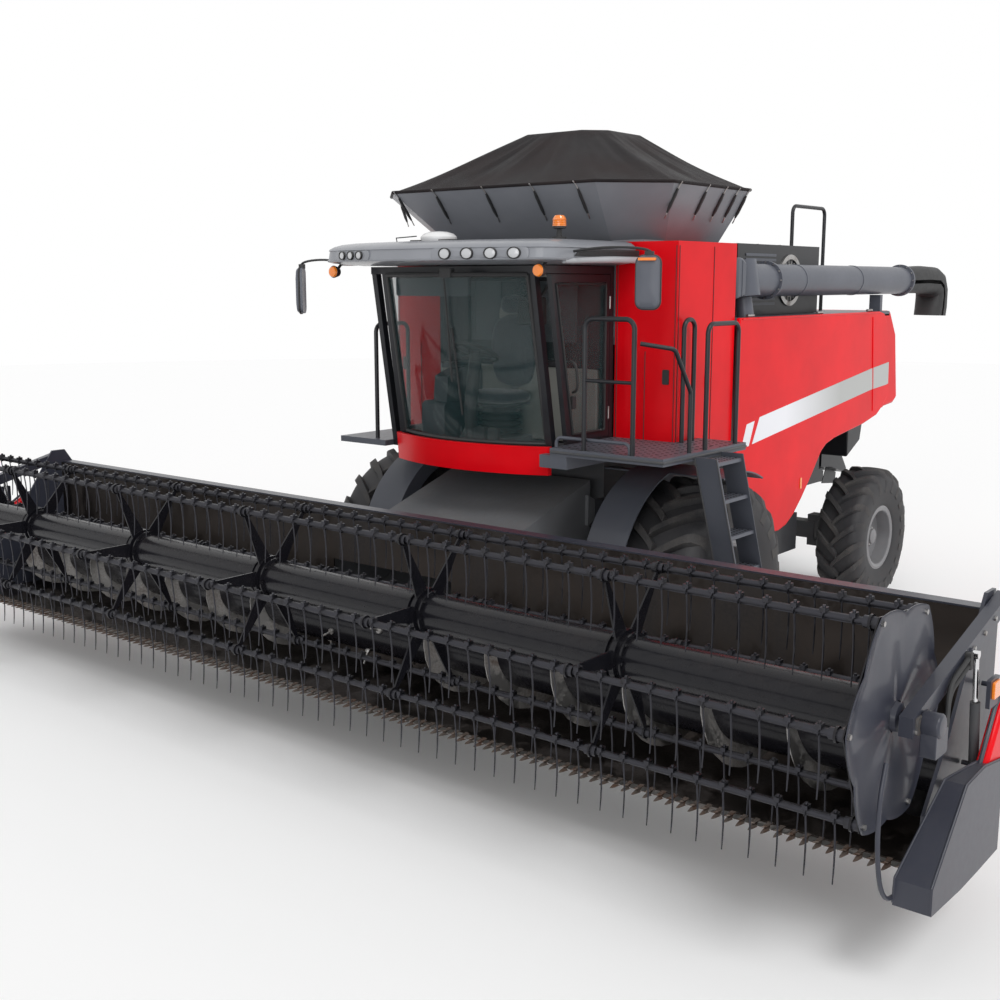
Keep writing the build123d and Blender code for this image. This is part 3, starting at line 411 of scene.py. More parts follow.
# %% [markdown]
# ## Paints
#
# A harvester's panels are pressed steel and moulded plastic in a few sprayed colours: a bright
# red for the body, slate for the tank and the auger, near-black for the running gear, and a pale
# grey for the roof. Each is the same recipe with other numbers, as in a real paint shop.

# %% Body colours
red = painted("red_paint", "red_paint", (0.78, 0.002, 0.008), 0.3, dust=0.02, coat=0.07, shine=0.12)
slate = painted("slate_paint", "slate_paint", (0.098, 0.106, 0.130), 0.42, dust=0.16, coat=0.12)
header_slate = painted("header_paint", "slate_paint", (0.036, 0.039, 0.055), 0.4, dust=0.12, coat=0.25)
tank_grey = painted("tank_paint", "slate_paint", (0.23, 0.24, 0.265), 0.45, dust=0.2, coat=0.1)
feeder_grey = painted("feeder_paint", "slate_paint", (0.15, 0.155, 0.165), 0.42, dust=0.3, coat=0.15)
# The brown second colour here is partly dust and partly a painted bronze highlight on the black reel tube.
reel_black = painted("reel_paint", "black_paint", (0.008, 0.008, 0.011), 0.26, dust=0.10, coat=0.16,
                     dust_and_highlight_colour=(0.12, 0.085, 0.06), shine=0.2)
black = painted("black_paint", "black_paint", (0.012, 0.013, 0.017), 0.42, dust=0.12, coat=0.2)
frame_grey = painted("chassis_paint", "cast_grey", (0.075, 0.078, 0.085), 0.5, dust=0.6, coat=0.1)
rim_grey = painted("rim_paint", "rim_paint", (0.22, 0.22, 0.23), 0.4, dust=0.45, coat=0.2)
visor = painted("roof_shell", "silver_panel", (0.25, 0.26, 0.285), 0.36, dust=0.08, coat=0.35)
silver = painted("stripe_silver", "silver_panel", (0.42, 0.43, 0.45), 0.3, dust=0.05, coat=0.3)
trim_white = painted("trim_white", "silver_panel", (0.78, 0.78, 0.78), 0.35, dust=0.05, coat=0.3)
print("paints:", len(bpy.data.materials))

# %% [markdown]
# ## Bare and worn metal
#
# The header's sheets are polished by straw, and rust returns wherever the straw doesn't rub. So
# the metal is a mix of two states, and one noise, drawn out along the direction of the flow,
# says which. Metallic and roughness follow the same mask as the colour.

# %% Worn steel, cast iron and chrome
def steel(name, slot, bright, dull, roughness, rust, drawn=(1, 1, 1), grain_size=0.25):
    """Metal whose bright state gives way to a dull, rough one where the drawn-out noise is high."""
    metal = Finish(name, slot, bright, roughness, Metallic=1.0)
    flow, fine = metal.noise(grain_size, detail=6, stretch=drawn), metal.noise(0.02, detail=4)
    worn = metal.between(flow * 0.75 + fine * 0.25, 0.62 - rust * 0.3, 0.8 - rust * 0.25)
    metal.set("Base Color", metal.blend(worn, bright, dull))
    metal.set("Metallic", 1 - worn * 0.85)
    metal.set("Roughness", roughness + worn * (0.85 - roughness) + (fine - 0.5) * 0.15)
    metal.relief(fine + flow * 0.5, 0.12)
    return metal


sheet_steel = steel("straw_polished_steel", "worn_steel", (0.050, 0.042, 0.038), (0.016, 0.013, 0.013),
    0.33, 0.5, (1, 1, 0.25))
dark_steel = steel("tine_steel", "worn_steel", (0.050, 0.050, 0.058), (0.014, 0.013, 0.015), 0.4, 0.4,
    grain_size=0.06)
rusty_steel = steel("guard_steel", "worn_steel", (0.22, 0.19, 0.17), (0.10, 0.055, 0.036), 0.5, 0.7,
    grain_size=0.07)
bar_steel = steel("machined_steel", "worn_steel", (0.42, 0.41, 0.40), (0.16, 0.11, 0.08), 0.35, 0.3)
cast = steel("cast_iron", "cast_grey", (0.13, 0.13, 0.135), (0.09, 0.07, 0.055), 0.6, 0.6, grain_size=0.08)
chrome = steel("rod_chrome", "rod_chrome", (0.72, 0.72, 0.73), (0.45, 0.43, 0.40), 0.12, 0.0)
flow_steel = steel("auger_steel", "worn_steel", (0.38, 0.37, 0.36), (0.07, 0.05, 0.04), 0.38, 0.5,
    (1, 0.4, 0.4), 0.15)
print("metals made")

# %% [markdown]
# ## Rubber, cloth and glass
#
# Tyre rubber is never black: it is a dark grey that keeps dust in its pores, and the lugs' tips are painted
# paler, partly as dust and partly as a painted highlight. The cover is woven and coated, so two sets of fine
# waves cross in its bump.
# Cab glass is tinted and thin, so it is a glossy surface with a constant low alpha: the interior shows
# through it.

# %% Soft and clear finishes
rubber = Finish("tyre_rubber", "tyre_rubber", (0.028, 0.028, 0.030), 0.62)
pores, patches = rubber.noise(0.012, detail=4), rubber.noise(0.22, detail=4)
# The 'worn' mark is 1 on the lugs' tips, which get more of the pale colour: partly dust, partly a painted
# highlight.
tip = rubber.node("Attribute", {"attribute_name": "worn"}, output="Fac")
tyre_dust_and_highlight = rubber.between(patches * 0.6 + pores * 0.4, 0.4, 0.68) * (0.22 + tip * 0.6)
rubber.set("Base Color", rubber.blend(tyre_dust_and_highlight, (0.018, 0.018, 0.021), (0.085, 0.078, 0.072)))
rubber.set("Roughness", 0.62 + tyre_dust_and_highlight * 0.3)
rubber.relief(pores, 0.25)

soft_rubber = Finish("black_rubber", "black_rubber", (0.02, 0.02, 0.021), 0.6)
soft_rubber.set("Roughness", 0.5 + soft_rubber.noise(0.05) * 0.25)
soft_rubber.relief(soft_rubber.noise(0.004, detail=2), 0.15)

canvas = Finish("cover_cloth", "cover_cloth", (0.028, 0.021, 0.021), 0.7, Sheen_Weight=0.02,
                Sheen_Roughness=0.5, Specular_IOR_Level=0.1)
threads = {"Vector": canvas.place, "Scale": 160.0, "Distortion": 1.0}
warp, weft = (canvas.node("TexWave", {"bands_direction": way}, threads) for way in "XY")
stain = canvas.between(canvas.noise(0.45, detail=5), 0.38, 0.72)
canvas.set("Base Color", canvas.blend(stain, (0.010, 0.008, 0.009), (0.026, 0.020, 0.020)))
canvas.set("Roughness", 0.5 + stain * 0.25)
canvas.relief(warp * 0.3 + weft * 0.3 + canvas.noise(0.05, detail=4), 0.35, 0.004)

upholstery = Finish("seat_cloth", "seat_cloth", (0.045, 0.05, 0.06), 0.85, Sheen_Weight=0.4)
speck = upholstery.noise(0.004, detail=2)
woven = upholstery.between(speck, 0.4, 0.6)
upholstery.set("Base Color", upholstery.blend(woven, (0.03, 0.034, 0.042), (0.085, 0.09, 0.10)))
upholstery.relief(speck, 0.4)

glass = Finish("tinted_glass", "tinted_glass", (0.03, 0.06, 0.062), 0.04, Alpha=0.24, IOR=1.5,
    Specular_IOR_Level=0.6)
film = glass.between(glass.noise(0.5, detail=5), 0.5, 0.8)
glass.set("Roughness", 0.03 + film * 0.12)
glass.set("Base Color", glass.blend(film, (0.025, 0.055, 0.058), (0.07, 0.10, 0.10)))

moulded = Finish("cab_plastic", "black_rubber", (0.05, 0.055, 0.062), 0.6)
skin = moulded.noise(0.003, detail=2)
moulded.set("Base Color", moulded.blend(moulded.noise(0.3), (0.035, 0.04, 0.047), (0.075, 0.082, 0.09)))
moulded.relief(skin, 0.08, 0.0005)

lining = Finish("cab_lining", "seat_cloth", (0.24, 0.24, 0.22), 0.8)
lining.set("Base Color", lining.blend(lining.noise(0.4), (0.19, 0.2, 0.19), (0.3, 0.3, 0.27)))
lining.relief(lining.noise(0.003, detail=2), 0.05, 0.0005)


def lens(name, colour, glow=(0, 0, 0), strength=0.0, slot="tinted_glass"):
    """Moulded lamp plastic: fine vertical flutes under a glossy skin."""
    clear = Finish(name, slot, colour, 0.12, Coat_Weight=1.0, Emission_Strength=strength)
    clear.shader.inputs["Emission Color"].default_value = (*glow, 1)
    flute = clear.node("TexWave", {"bands_direction": "Z"}, {"Vector": clear.place, "Scale": 45.0})
    clear.set("Base Color", clear.blend(flute, tuple(c * 0.6 for c in colour), colour))
    clear.relief(flute, 0.3, 0.001)
    return clear


# The amber lens glows faintly. It is also put on reflectors, which are no lamps: on them the glow is a
# painted glint.
amber = lens("amber_lens", (0.85, 0.22, 0.01), (1.0, 0.25, 0.0), 0.15)
clear_lens = lens("lamp_lens", (0.46, 0.47, 0.49), (1, 1, 1), 0.12)
red_lens = lens("tail_lens", (0.55, 0.01, 0.01))
print("finishes so far:", len(bpy.data.materials))

# %% [markdown]
# ## From shape to piece
#
# A piece is a shape with a finish, told which body it moves with. Doubled points are merged so
# that poles and seams close, and each face is turned to look outwards: a shape that was mirrored
# would otherwise show its inside. Round parts are shaded smooth, and an edge sharper than the
# given angle stays crisp.

# %% The piece maker
def piece(name, shape, body, finish, crease=35, bevel=0.0, replaces=(), worn=None):
    """Makes an object of a shape: merges doubles, points faces out, sets finish and body."""
    points = shape.points + [0, AXLE, 0]
    mesh = bpy.data.meshes.new(name)
    mesh.from_pydata(points.tolist(), [], [f for block_ in shape.faces for f in block_.tolist()])
    # The 'worn' mark, given only for the tyres, is 1 on the lugs' tips, which the tyre rubber paints paler:
    # partly dust, partly a painted highlight.
    if worn is not None:
        mesh.attributes.new("worn", "FLOAT", "POINT").data.foreach_set("value",
            np.asarray(worn, np.float32))
    soup = bmesh.new()
    soup.from_mesh(mesh)
    bmesh.ops.remove_doubles(soup, verts=soup.verts, dist=1e-5)
    bmesh.ops.dissolve_degenerate(soup, edges=soup.edges, dist=1e-6)
    bmesh.ops.recalc_face_normals(soup, faces=soup.faces)
    soup.to_mesh(mesh)
    soup.free()
    mesh.shade_smooth()
    mesh.set_sharp_from_angle(angle=math.radians(crease))
    mesh.materials.append(finish.material)
    made = bpy.data.objects.new(name, mesh)
    bpy.context.scene.collection.objects.link(made)
    if bevel:
        edge = made.modifiers.new("edge", "BEVEL")
        edge.width, edge.segments, edge.limit_method = bevel, 2, "ANGLE"
    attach(made, body)
    if replaces:
        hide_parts(*replaces)
    return made


# %% [markdown]
# ## Finishes for the frame's own solids
#
# Where a CAD solid already has the real shape, such as a beam or a folded plate, it stays in view
# and only gets its finish. A table from node to finish says it once, and anything left out of the
# table would be seen at once, because it is printed.

# %% Give each solid its finish
node_finish = {
    red: ["side_cabinets", "side_panel_left", "side_panel_right", "bumper_panel", "rear_hood"],
    slate: ["auger_tube", "auger_spout", "platform", "service_deck", "front_fenders", "ladder"],
    tank_grey: ["tank_extension", "grain_tank"],
    header_slate: ["header_ends", "header_frame", "reel_arms", "dividers"],
    feeder_grey: ["feeder_house"],
    black: ["cab_frame", "cab_door", "handrails", "mirrors", "main_frame", "engine_hood",
            "straw_chopper"],
    reel_black: ["reel_core"],
    frame_grey: ["front_axle", "rear_axle", "threshing_body", "steering_knuckle_left",
                 "steering_knuckle_right", "lift_barrels", "reel_barrels"],
    cast: ["tie_rod", "engine"],
    rim_grey: ["front_rim_left", "front_rim_right", "rear_rim_left", "rear_rim_right"],
    rubber: ["front_tyre_left", "front_tyre_right", "rear_tyre_left", "rear_tyre_right"],
    sheet_steel: ["header_table"],
    bar_steel: ["knife_guards", *(f"reel_bat_{k}" for k in range(1, 7))],
    flow_steel: ["cross_auger"],
    chrome: ["lift_rods", "reel_rods"],
    visor: ["cab_roof"],
    glass: ["cab_glass", "door_glass"],
    moulded: ["cab_controls"],
    canvas: ["tank_cover"],
    upholstery: ["seat_cushions"],
}
for finish, names in node_finish.items():
    for node_name in names:
        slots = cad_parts[node_name].material_slots
        for material_slot in slots:
            material_slot.material = finish.material
        if not slots:
            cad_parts[node_name].data.materials.append(finish.material)
listed = [n for names in node_finish.values() for n in names]
print("without a finish:", sorted(set(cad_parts) - set(listed)))

# %% [markdown]
# ## Tyres with bar lugs
#
# A driving tyre for fields has two rows of bars, one from each side, that meet in a V. The V's
# point touches the ground first, so soft earth is pressed outwards and the tread cleans itself.
# The casing is a lathe. A bar is a short grid: four points across it, carried from the middle of
# the tread to the shoulder while its angle falls back. One bar is worked out, then turned into
# all of them.

# %% Casing and bars
def crown(x, radius, half):
    """Radius of the lugs' tips at a distance x from the tyre's middle: a shallow arc, then the shoulder."""
    share = np.abs(x) / half
    return radius - 0.018 * share ** 2 - 0.075 * np.clip((share - 0.72) / 0.28, 0, 1) ** 1.6


def lugged_tyre(radius, width, rim_radius, x, y, bars, depth):
    """Casing and two rows of bars; returns the shape and a mark that is 1 on the lugs' tips, which the rubber
    paints paler: partly dust, partly a painted highlight.
    """
    half = width / 2
    share = np.array([0.0, 0.3, 0.55, 0.75, 0.86])
    tread = np.stack([share * half, crown(share * half, radius, half) - depth], axis=1)
    wall = rim_radius + (radius - rim_radius) * np.array([0.74, 0.62, 0.48, 0.30, 0.15, 0.10, 0.02, 0.0])
    out = half * np.array([0.95, 0.985, 0.99, 0.955, 0.90, 0.885, 0.83, 0.78])
    side = np.stack([out, wall], axis=1)
    right = np.vstack([tread, side, [[half * 0.70, rim_radius + 0.004]]])
    profile = np.vstack([right[::-1] * [-1, 1], right[1:]])
    casing = lathe(np.vstack([profile, profile[:1]]), "x", (x, y, radius), 84)

    t = np.linspace(0, 1, 9)[:, None]
    across = -0.035 + (half * 0.995 + 0.035) * t
    angle = -0.36 * t ** 0.85
    tip = crown(across, radius, half) - 0.05 * np.clip((t - 0.88) / 0.12, 0, 1)
    foot = tip - depth - 0.012 - 0.05 * np.clip((t - 0.88) / 0.12, 0, 1)
    waist = (0.030 + 0.014 * t) * (radius / 0.9)
    spread = np.concatenate([-waist - 0.016, -waist, waist, waist + 0.016], axis=1) / radius
    height = np.concatenate([foot, tip, tip, foot], axis=1)
    roots = np.repeat(foot[[0, -1]], 4, axis=1)
    height = np.vstack([roots[:1], height, roots[1:]])
    across = np.vstack([across[:1], across, across[-1:]])
    angle = np.vstack([angle[:1], angle, angle[-1:]]) + np.vstack([spread[:1], spread, spread[-1:]])
    grid = np.stack([across + 0 * angle, -height * np.sin(angle), height * np.cos(angle)], axis=2)
    bar = surface(grid, closed_cols=True)
    reach = np.linalg.norm(bar.points[:, 1:], axis=1)
    # Points on the lugs' tips, painted paler by the rubber: partly dust, partly a painted highlight.
    dust = np.isclose(reach, np.repeat(height.max(axis=1), 4), atol=1e-4)
    left = bar.turned(np.arange(bars) * 2 * math.pi / bars)
    right_row = bar.mirrored().turned((np.arange(bars) + 0.5) * 2 * math.pi / bars)
    lugs = (left + right_row).shifted((x, y, radius))
    worn = np.r_[np.zeros(len(casing.points)), np.tile(dust, 2 * bars)]
    return casing + lugs, worn


tyre_sizes = {
    # radius, width, rim radius, distance from the middle, y of the axle, bars a side, bar height
    "front": (0.900, 0.780, 0.410, 1.560, 0.0, 21, 0.052),
    "rear": (0.735, 0.480, 0.330, 1.490, 3.640, 20, 0.040),
}
for end, (radius, width, rim_radius, x, y, bars, depth) in tyre_sizes.items():
    for side, sign in SIDES:
        shape, worn = lugged_tyre(radius, width, rim_radius, sign * x, y, bars, depth)
        node_name = f"{end}_tyre_{side}"
        wheel = f"{end}_wheel_{side}"
        piece(f"{node_name}_lugged", shape, wheel, rubber, 40, replaces=[node_name], worn=worn)
print("bars on a front tyre:", 2 * tyre_sizes["front"][5])

# %% [markdown]
# ## Wheel discs
#
# A wheel is a rolled barrel with a pressed disc welded in, held to the hub by a ring of nuts. The
# CAD solid gives its body. What the eye looks for on top of it is the rolled edge, the nuts with
# their washers, and the hub's cap, which are lathes and one six-sided plate turned ten times.

# %% Rim edges, nuts and caps
def wheel_dressing(radius, rim_radius, width, x, y, sign, nut_ring, nuts):
    """Rolled edge, nuts and hub cap on the outer face of one wheel."""
    half = width / 2 * 0.80
    face = half * 0.42
    edge_profile = [
        (half - 0.01, rim_radius - 0.045), (half + 0.006, rim_radius - 0.040),
        (half + 0.016, rim_radius - 0.01), (half + 0.008, rim_radius + 0.012),
        (half - 0.012, rim_radius + 0.004), (half - 0.01, rim_radius - 0.045),
    ]
    edge = lathe(edge_profile, sides=64)
    cap = lathe([(face - 0.01, 0.0), (face - 0.01, 0.085), (face + 0.05, 0.08), (face + 0.066, 0.05),
        (face + 0.07, 0.0)], sides=32)
    turn = np.arange(6) * math.pi / 3
    six_sided = np.stack([0.019 * np.cos(turn) + nut_ring, 0.019 * np.sin(turn)], axis=1)
    nut = plate(six_sided, face - 0.005, face + 0.026)
    washer_profile = [(-0.005, 0.0), (-0.005, 0.028), (0.006, 0.027), (0.006, 0.0)]
    washer = lathe([(face + along, across) for along, across in washer_profile], sides=16)
    ring = (nut + washer.shifted((0, nut_ring, 0))).turned(np.arange(nuts) * 2 * math.pi / nuts)
    return (edge + cap + ring).on_side(sign).shifted((sign * x, y, radius))


for end, (radius, width, rim_radius, x, y, bars, depth) in tyre_sizes.items():
    nut_ring, nuts = (0.125, 10) if end == "front" else (0.09, 8)
    for side, sign in SIDES:
        shape = wheel_dressing(radius, rim_radius, width, x, y, sign, nut_ring, nuts)
        piece(f"{end}_wheel_trim_{side}", shape, f"{end}_wheel_{side}", rim_grey)
print("wheels dressed")

# %% [markdown]
# ## The tank's cover
#
# Over the open tank lies a tarpaulin held up by a bow in the middle, so that rain runs off. It
# could be simulated as cloth, but it is pulled tight by ten straps, and a tight sheet has a form
# that a formula gives directly: each point is the middle plus the rim's point drawn in, at a
# height that climbs from the rim to the ridge. Small waves run from the straps up to the peak,
# and die out at the rim and the ridge.

# %% Rim of the tank and the sheet over it
ext_low, ext_high = span("tank_extension")
RIM_HALF, RIM_FRONT, RIM_REAR, RIM_Z = ext_high[0], ext_low[1], ext_high[1], ext_high[2]
RIM_CUT = 0.44


def octagon(x_mid, half, y0, y1, cut):
    """Corners of a rectangle whose own corners are cut off, anticlockwise from the front left."""
    return np.array([
        (x_mid - half + cut, y0), (x_mid + half - cut, y0),
        (x_mid + half, y0 + cut), (x_mid + half, y1 - cut),
        (x_mid + half - cut, y1), (x_mid - half + cut, y1),
        (x_mid - half, y1 - cut), (x_mid - half, y0 + cut),
    ])


def walk(corners, count):
    """Points along a closed outline, evenly spaced between each two corners, so that outlines match."""
    loop = np.vstack([corners, corners[:1]])
    stations = np.linspace(0, len(corners), count, endpoint=False)
    return np.stack([np.interp(stations, np.arange(len(loop)), loop[:, k]) for k in (0, 1)], axis=1)


cover_high = span("tank_cover")[1]
PEAK = np.array([0.085, 0.345])
around, rings = 192, 26
edge_line = walk(octagon(0.0, RIM_HALF, RIM_FRONT, RIM_REAR, RIM_CUT), around)
bow_line = walk(octagon(PEAK[0], 0.45, PEAK[1] - 0.41, PEAK[1] + 0.41, 0.16), around)
climb = np.linspace(0, 1, rings)[:, None]
bow_height = cover_high[2] - RIM_Z - 0.062
turn = np.arctan2(edge_line[:, 1] - PEAK[1], edge_line[:, 0] - PEAK[0])[None]
fold = np.sin(climb * math.pi) ** 0.8
folds = 0.010 * np.sin(11 * turn + 2.2 * climb) + 0.006 * np.sin(29 * turn - 1.4)
folds = folds + 0.004 * np.sin(47 * turn + 5 * climb)
cloth = np.stack([
    edge_line[:, 0] + (bow_line[:, 0] - edge_line[:, 0]) * climb,
    edge_line[:, 1] + (bow_line[:, 1] - edge_line[:, 1]) * climb,
    RIM_Z + 0.006 + bow_height * climb + fold * (folds - 0.022),
], axis=2)
crown_ring = cloth[-1]
middle = np.array([PEAK[0] + 0.03, PEAK[1], cover_high[2] - 0.012])
inward = np.linspace(0.75, 0, 4)[:, None, None]
lid = middle + (crown_ring - middle)[None] * inward
cloth = np.concatenate([cloth, lid], axis=0)
cloth_sheet = surface(cloth, closed_cols=True)
under = Shape(cloth_sheet.points - [0, 0, 0.004], [f[:, ::-1] for f in cloth_sheet.faces])
hem_faces = np.arange(around)
hem = np.stack([hem_faces, (hem_faces + 1) % around, (hem_faces + 1) % around + len(cloth_sheet.points),
                hem_faces + len(cloth_sheet.points)], axis=1)
sheet_shape = cloth_sheet + under
sheet_shape.faces.append(hem)


cover = piece("tank_cover_tarpaulin", sheet_shape, "machine", canvas, 60, replaces=["tank_cover"])

# %% [markdown]
# The sheet was cut as a rectangle with its corners taken off. The edge is folded round a cord, which makes
# the pale, thick line at the rim, and rubber straps with steel hooks pull it down to the tank.

CORD = 0.014
hem_line = np.column_stack([edge_line, np.full(around, RIM_Z + 0.006)])
outward, hem_turn = (edge_line - PEAK) / RIM_HALF, circle(8)
hem_ring = surface(hem_line[:, None] + CORD * np.stack([
    np.outer(outward[:, 0], np.cos(hem_turn)),
    np.outer(outward[:, 1], np.cos(hem_turn)),
    np.tile(np.sin(hem_turn), (around, 1)),
], axis=2), closed_rows=True, closed_cols=True)
hem_piece = piece("tank_cover_hem", hem_ring, "machine", canvas, 60)

base_low, base_high = span("grain_tank")


def on_flare(side, along, drop):
    """A point on the tank extension: from the rim down its leaning side, `drop` being the share."""
    half = RIM_HALF + (base_high[0] - RIM_HALF) * drop
    front = RIM_FRONT + (base_low[1] - RIM_FRONT) * drop
    rear = RIM_REAR + (base_high[1] - RIM_REAR) * drop
    z = RIM_Z + (base_high[2] - RIM_Z) * drop
    return {"front": (along, front - 0.012, z), "rear": (along, rear + 0.012, z),
            "left": (half + 0.012, along, z), "right": (-half - 0.012, along, z)}[side]


strap_places = [("front", x) for x in (-1.04, -0.60, -0.05, 0.45, 0.88)]
strap_places += [("rear", x) for x in (-0.95, -0.45, 0.05, 0.5, 0.95)]
strap_places += [(side, y) for side in ("left", "right") for y in (-0.33, 0.11, 0.40, 0.61, 0.79)]
straps, hooks = [], []
for side, along in strap_places:
    lean = 0.055 if side in ("left", "rear") else -0.055
    head, tail = np.array(on_flare(side, along, 0.10)), np.array(on_flare(side, along + lean, 0.50))
    straps.append(tube(np.linspace(head, tail, 5), [0.008, 0.014, 0.013, 0.014, 0.008], 6))
    hook_top = np.array(on_flare(side, along, -0.02))
    hooks.append(tube([hook_top, (hook_top + head) / 2 + [0, 0, 0.006], head], 0.005, 6))
    tail_hook = np.array(on_flare(side, along + lean * 1.3, 0.60))
    bend = (tail + tail_hook) / 2 + [0.006, -0.006, 0]
    hooks.append(tube(smooth_path([tail, bend, tail_hook], 4), 0.005, 6))
piece("cover_straps", joined(straps), "machine", soft_rubber)
piece("cover_hooks", joined(hooks), "machine", bar_steel)
print("straps:", len(strap_places))

# %% [markdown]
# ## Six bats with sprung tines
#
# The reel lays the standing crop over the knife. Each bat is a steel tube that carries a row of
# sprung tines, and it turns in its bearings as the reel goes round, so that the tines always hang
# down. One tine is a wire along a curve: a coil round the bat, a straight shank and a toe that
# curves back. There are sixty on a bat, so one is made with few faces and copied along it.

# %% Bats and tines
reel_low, reel_high = span("reel_core")
REEL_Y, REEL_Z = (reel_low[1] + reel_high[1]) / 2, (reel_low[2] + reel_high[2]) / 2
BAT_SLEEVE = 0.025
TINE_DROP, TINE_SPACING, HUB_SPACING = 0.33, 0.15, 1.5
hub_shifts = [((i - 3) * HUB_SPACING, 0, 0) for i in range(7)]
bat_axes = {}
for k in range(1, 7):
    low_k, high_k = span(f"reel_bat_{k}")
    bat_axes[k] = ((low_k[1] + high_k[1]) / 2, high_k[2] - BAT_SLEEVE)
BAT_END = span("reel_bat_1")[1][0]


def tine(y, z):
    """A coil of one turn round the bat, then a shank that drops and bows forward before its toe."""
    turn = np.linspace(0.5 * math.pi, 2.5 * math.pi, 9)
    coil_x = np.linspace(-0.016, 0.0, 9)
    coil = np.stack([coil_x, y - 0.026 * np.cos(turn), z + 0.026 * np.sin(turn)], axis=1)
    drop = np.linspace(0.02, TINE_DROP, 6)
    bow = 0.020 * np.sin(math.pi * drop / TINE_DROP) + 0.010 * (drop / TINE_DROP) ** 2
    shank = np.stack([np.zeros(6), y - 0.020 + bow * 0.8, z - drop], axis=1)
    thickness = np.r_[np.full(9, 0.0045), [0.0048, 0.0052, 0.0052, 0.005, 0.0045, 0.0032]]
    wire = tube(np.vstack([coil, shank]), thickness, 5)
    clamp = block((-0.022, 0.010), (y - 0.024, y + 0.022), (z + 0.012, z + 0.034), 0.004)
    bolt = lathe([(0.0, 0.0), (0.0, 0.010), (0.012, 0.009), (0.012, 0.0)], "z", (-0.006, y, z + 0.033), 6)
    return wire + clamp + bolt


tine_x = (np.arange(60) - 29.5) * TINE_SPACING
for k, (y, z) in bat_axes.items():
    pipe = tube([(-BAT_END + 0.012, y, z), (BAT_END, y, z)], 0.0175, 12)
    lip_line = [(0.010, -0.026), (0.014, -0.026), (0.014, 0.016), (0.010, 0.016)]
    lip = plate([(y + across, z + up) for across, up in lip_line], -4.48, 4.48)
    row = tine(y, z).copies(np.stack([tine_x, 0 * tine_x, 0 * tine_x], axis=1))
    collars = lathe([(-0.03, 0.017), (-0.03, 0.030), (0.042, 0.030), (0.042, 0.017)], "x", (0, y, z), 14)
    bat_shape = pipe + lip + collars.copies(hub_shifts)
    piece(f"bat_{k}_tube", bat_shape, f"bat_{k}", dark_steel, replaces=[f"reel_bat_{k}"])
    piece(f"bat_{k}_tines", row, f"bat_{k}", dark_steel, crease=60)
print("tines:", 6 * len(tine_x))

# %% [markdown]
# ## What turns the bats
#
# A thick tube runs the reel's whole length. Pairs of pointed blades, welded to a hub every metre
# and a half, carry the bats, and a large plate at each end keeps straw out of the bearings. The
# tube has a flange at each hub, and that is what breaks its long highlight.

# %% Hubs, flanges and end plates
hub = lathe([(-0.055, 0.124), (-0.055, 0.150), (-0.043, 0.150), (-0.040, 0.133), (0.048, 0.133),
             (0.051, 0.150), (0.063, 0.150), (0.063, 0.124)], "x", (0, REEL_Y, REEL_Z), 32)
inner_shifts = hub_shifts[1:-1]
bolt_ring = lathe([(0.0, 0.0), (0.0, 0.011), (0.012, 0.010), (0.012, 0.0)], "x", (0.062, 0.137, 0), 6)
bolt_ring = bolt_ring.turned(np.arange(8) * math.pi / 4).shifted((0, REEL_Y, REEL_Z))
piece("reel_hubs", hub.copies(inner_shifts) + bolt_ring.copies(inner_shifts), "reel", reel_black)

bat_angle = math.atan2(bat_axes[1][1] - REEL_Z, bat_axes[1][0] - REEL_Y)
six = bat_angle + np.arange(6) * math.pi / 3


def fluted_plate(x, sign):
    """An end plate: radius in every direction swings between bat and flat side, dished by the ribs."""
    turn = bat_angle + circle(96)
    toward_bat = np.abs((np.degrees(turn - bat_angle) + 30) % 60 - 30) / 30
    rim = 0.60 - 0.085 * toward_bat
    share = np.array([0.14, 0.3, 0.5, 0.7, 0.85, 0.97, 1.0])[:, None]
    dish = 0.012 * np.cos(3 * (turn - bat_angle)) ** 2 * np.sin(share * math.pi) + 0.010 * (share > 0.98)
    across, up = REEL_Y + share * rim * np.cos(turn), REEL_Z + share * rim * np.sin(turn)
    grid = np.stack([x + sign * dish, across, up], axis=2)
    front = np.concatenate([grid, grid[:, :1]], axis=1)
    back = front - [0.006 * sign, 0, 0]
    edges = [surface(np.stack([front[row], back[row]])) for row in (-1, 0)]
    return surface(front) + surface(back) + edges[0] + edges[1]


PIN_RING = 0.562
for name, x, sign in (("left", 4.555, 1), ("right", -4.558, -1)):
    plate_shape = fluted_plate(x, sign)
    cup = lathe([(0.0, 0.035), (0.0, 0.075), (0.028, 0.070), (0.036, 0.05), (0.036, 0.035)], "x",
        (0, REEL_Y, REEL_Z), 28)
    cup = cup.on_side(sign).shifted((x, 0, 0))
    pins = lathe([(-0.03, 0.0), (-0.03, 0.014), (0.016, 0.014), (0.016, 0.0)], "x", (0, REEL_Y, REEL_Z), 10)
    pin_rows = pins.copies([(x, PIN_RING * math.cos(a), PIN_RING * math.sin(a)) for a in six])
    piece(f"reel_end_plate_{name}", plate_shape + cup, "reel", header_slate, 45)
    piece(f"reel_end_pins_{name}", pin_rows, "reel", bar_steel)
print("reel hubs:", 5, "end plates:", 2)

# %% [markdown]
# ## The cross auger
#
# Behind the knife a screw nine metres long gathers the crop to the middle, so its left half winds
# one way and its right half the other. A screw's blade is a helicoid: a radius swept round the
# axis while it moves along. In front of the feeder house there is no blade, and short rods reach
# out of the tube and draw the crop in.

# %% Flights and fingers
auger_low, auger_high = span("cross_auger")
AUGER_Y, AUGER_Z = (auger_low[1] + auger_high[1]) / 2, (auger_low[2] + auger_high[2]) / 2
AUGER_REACH, AUGER_CORE = (auger_high[2] - auger_low[2]) / 2 - 0.004, 0.150
AUGER_END = auger_high[0]


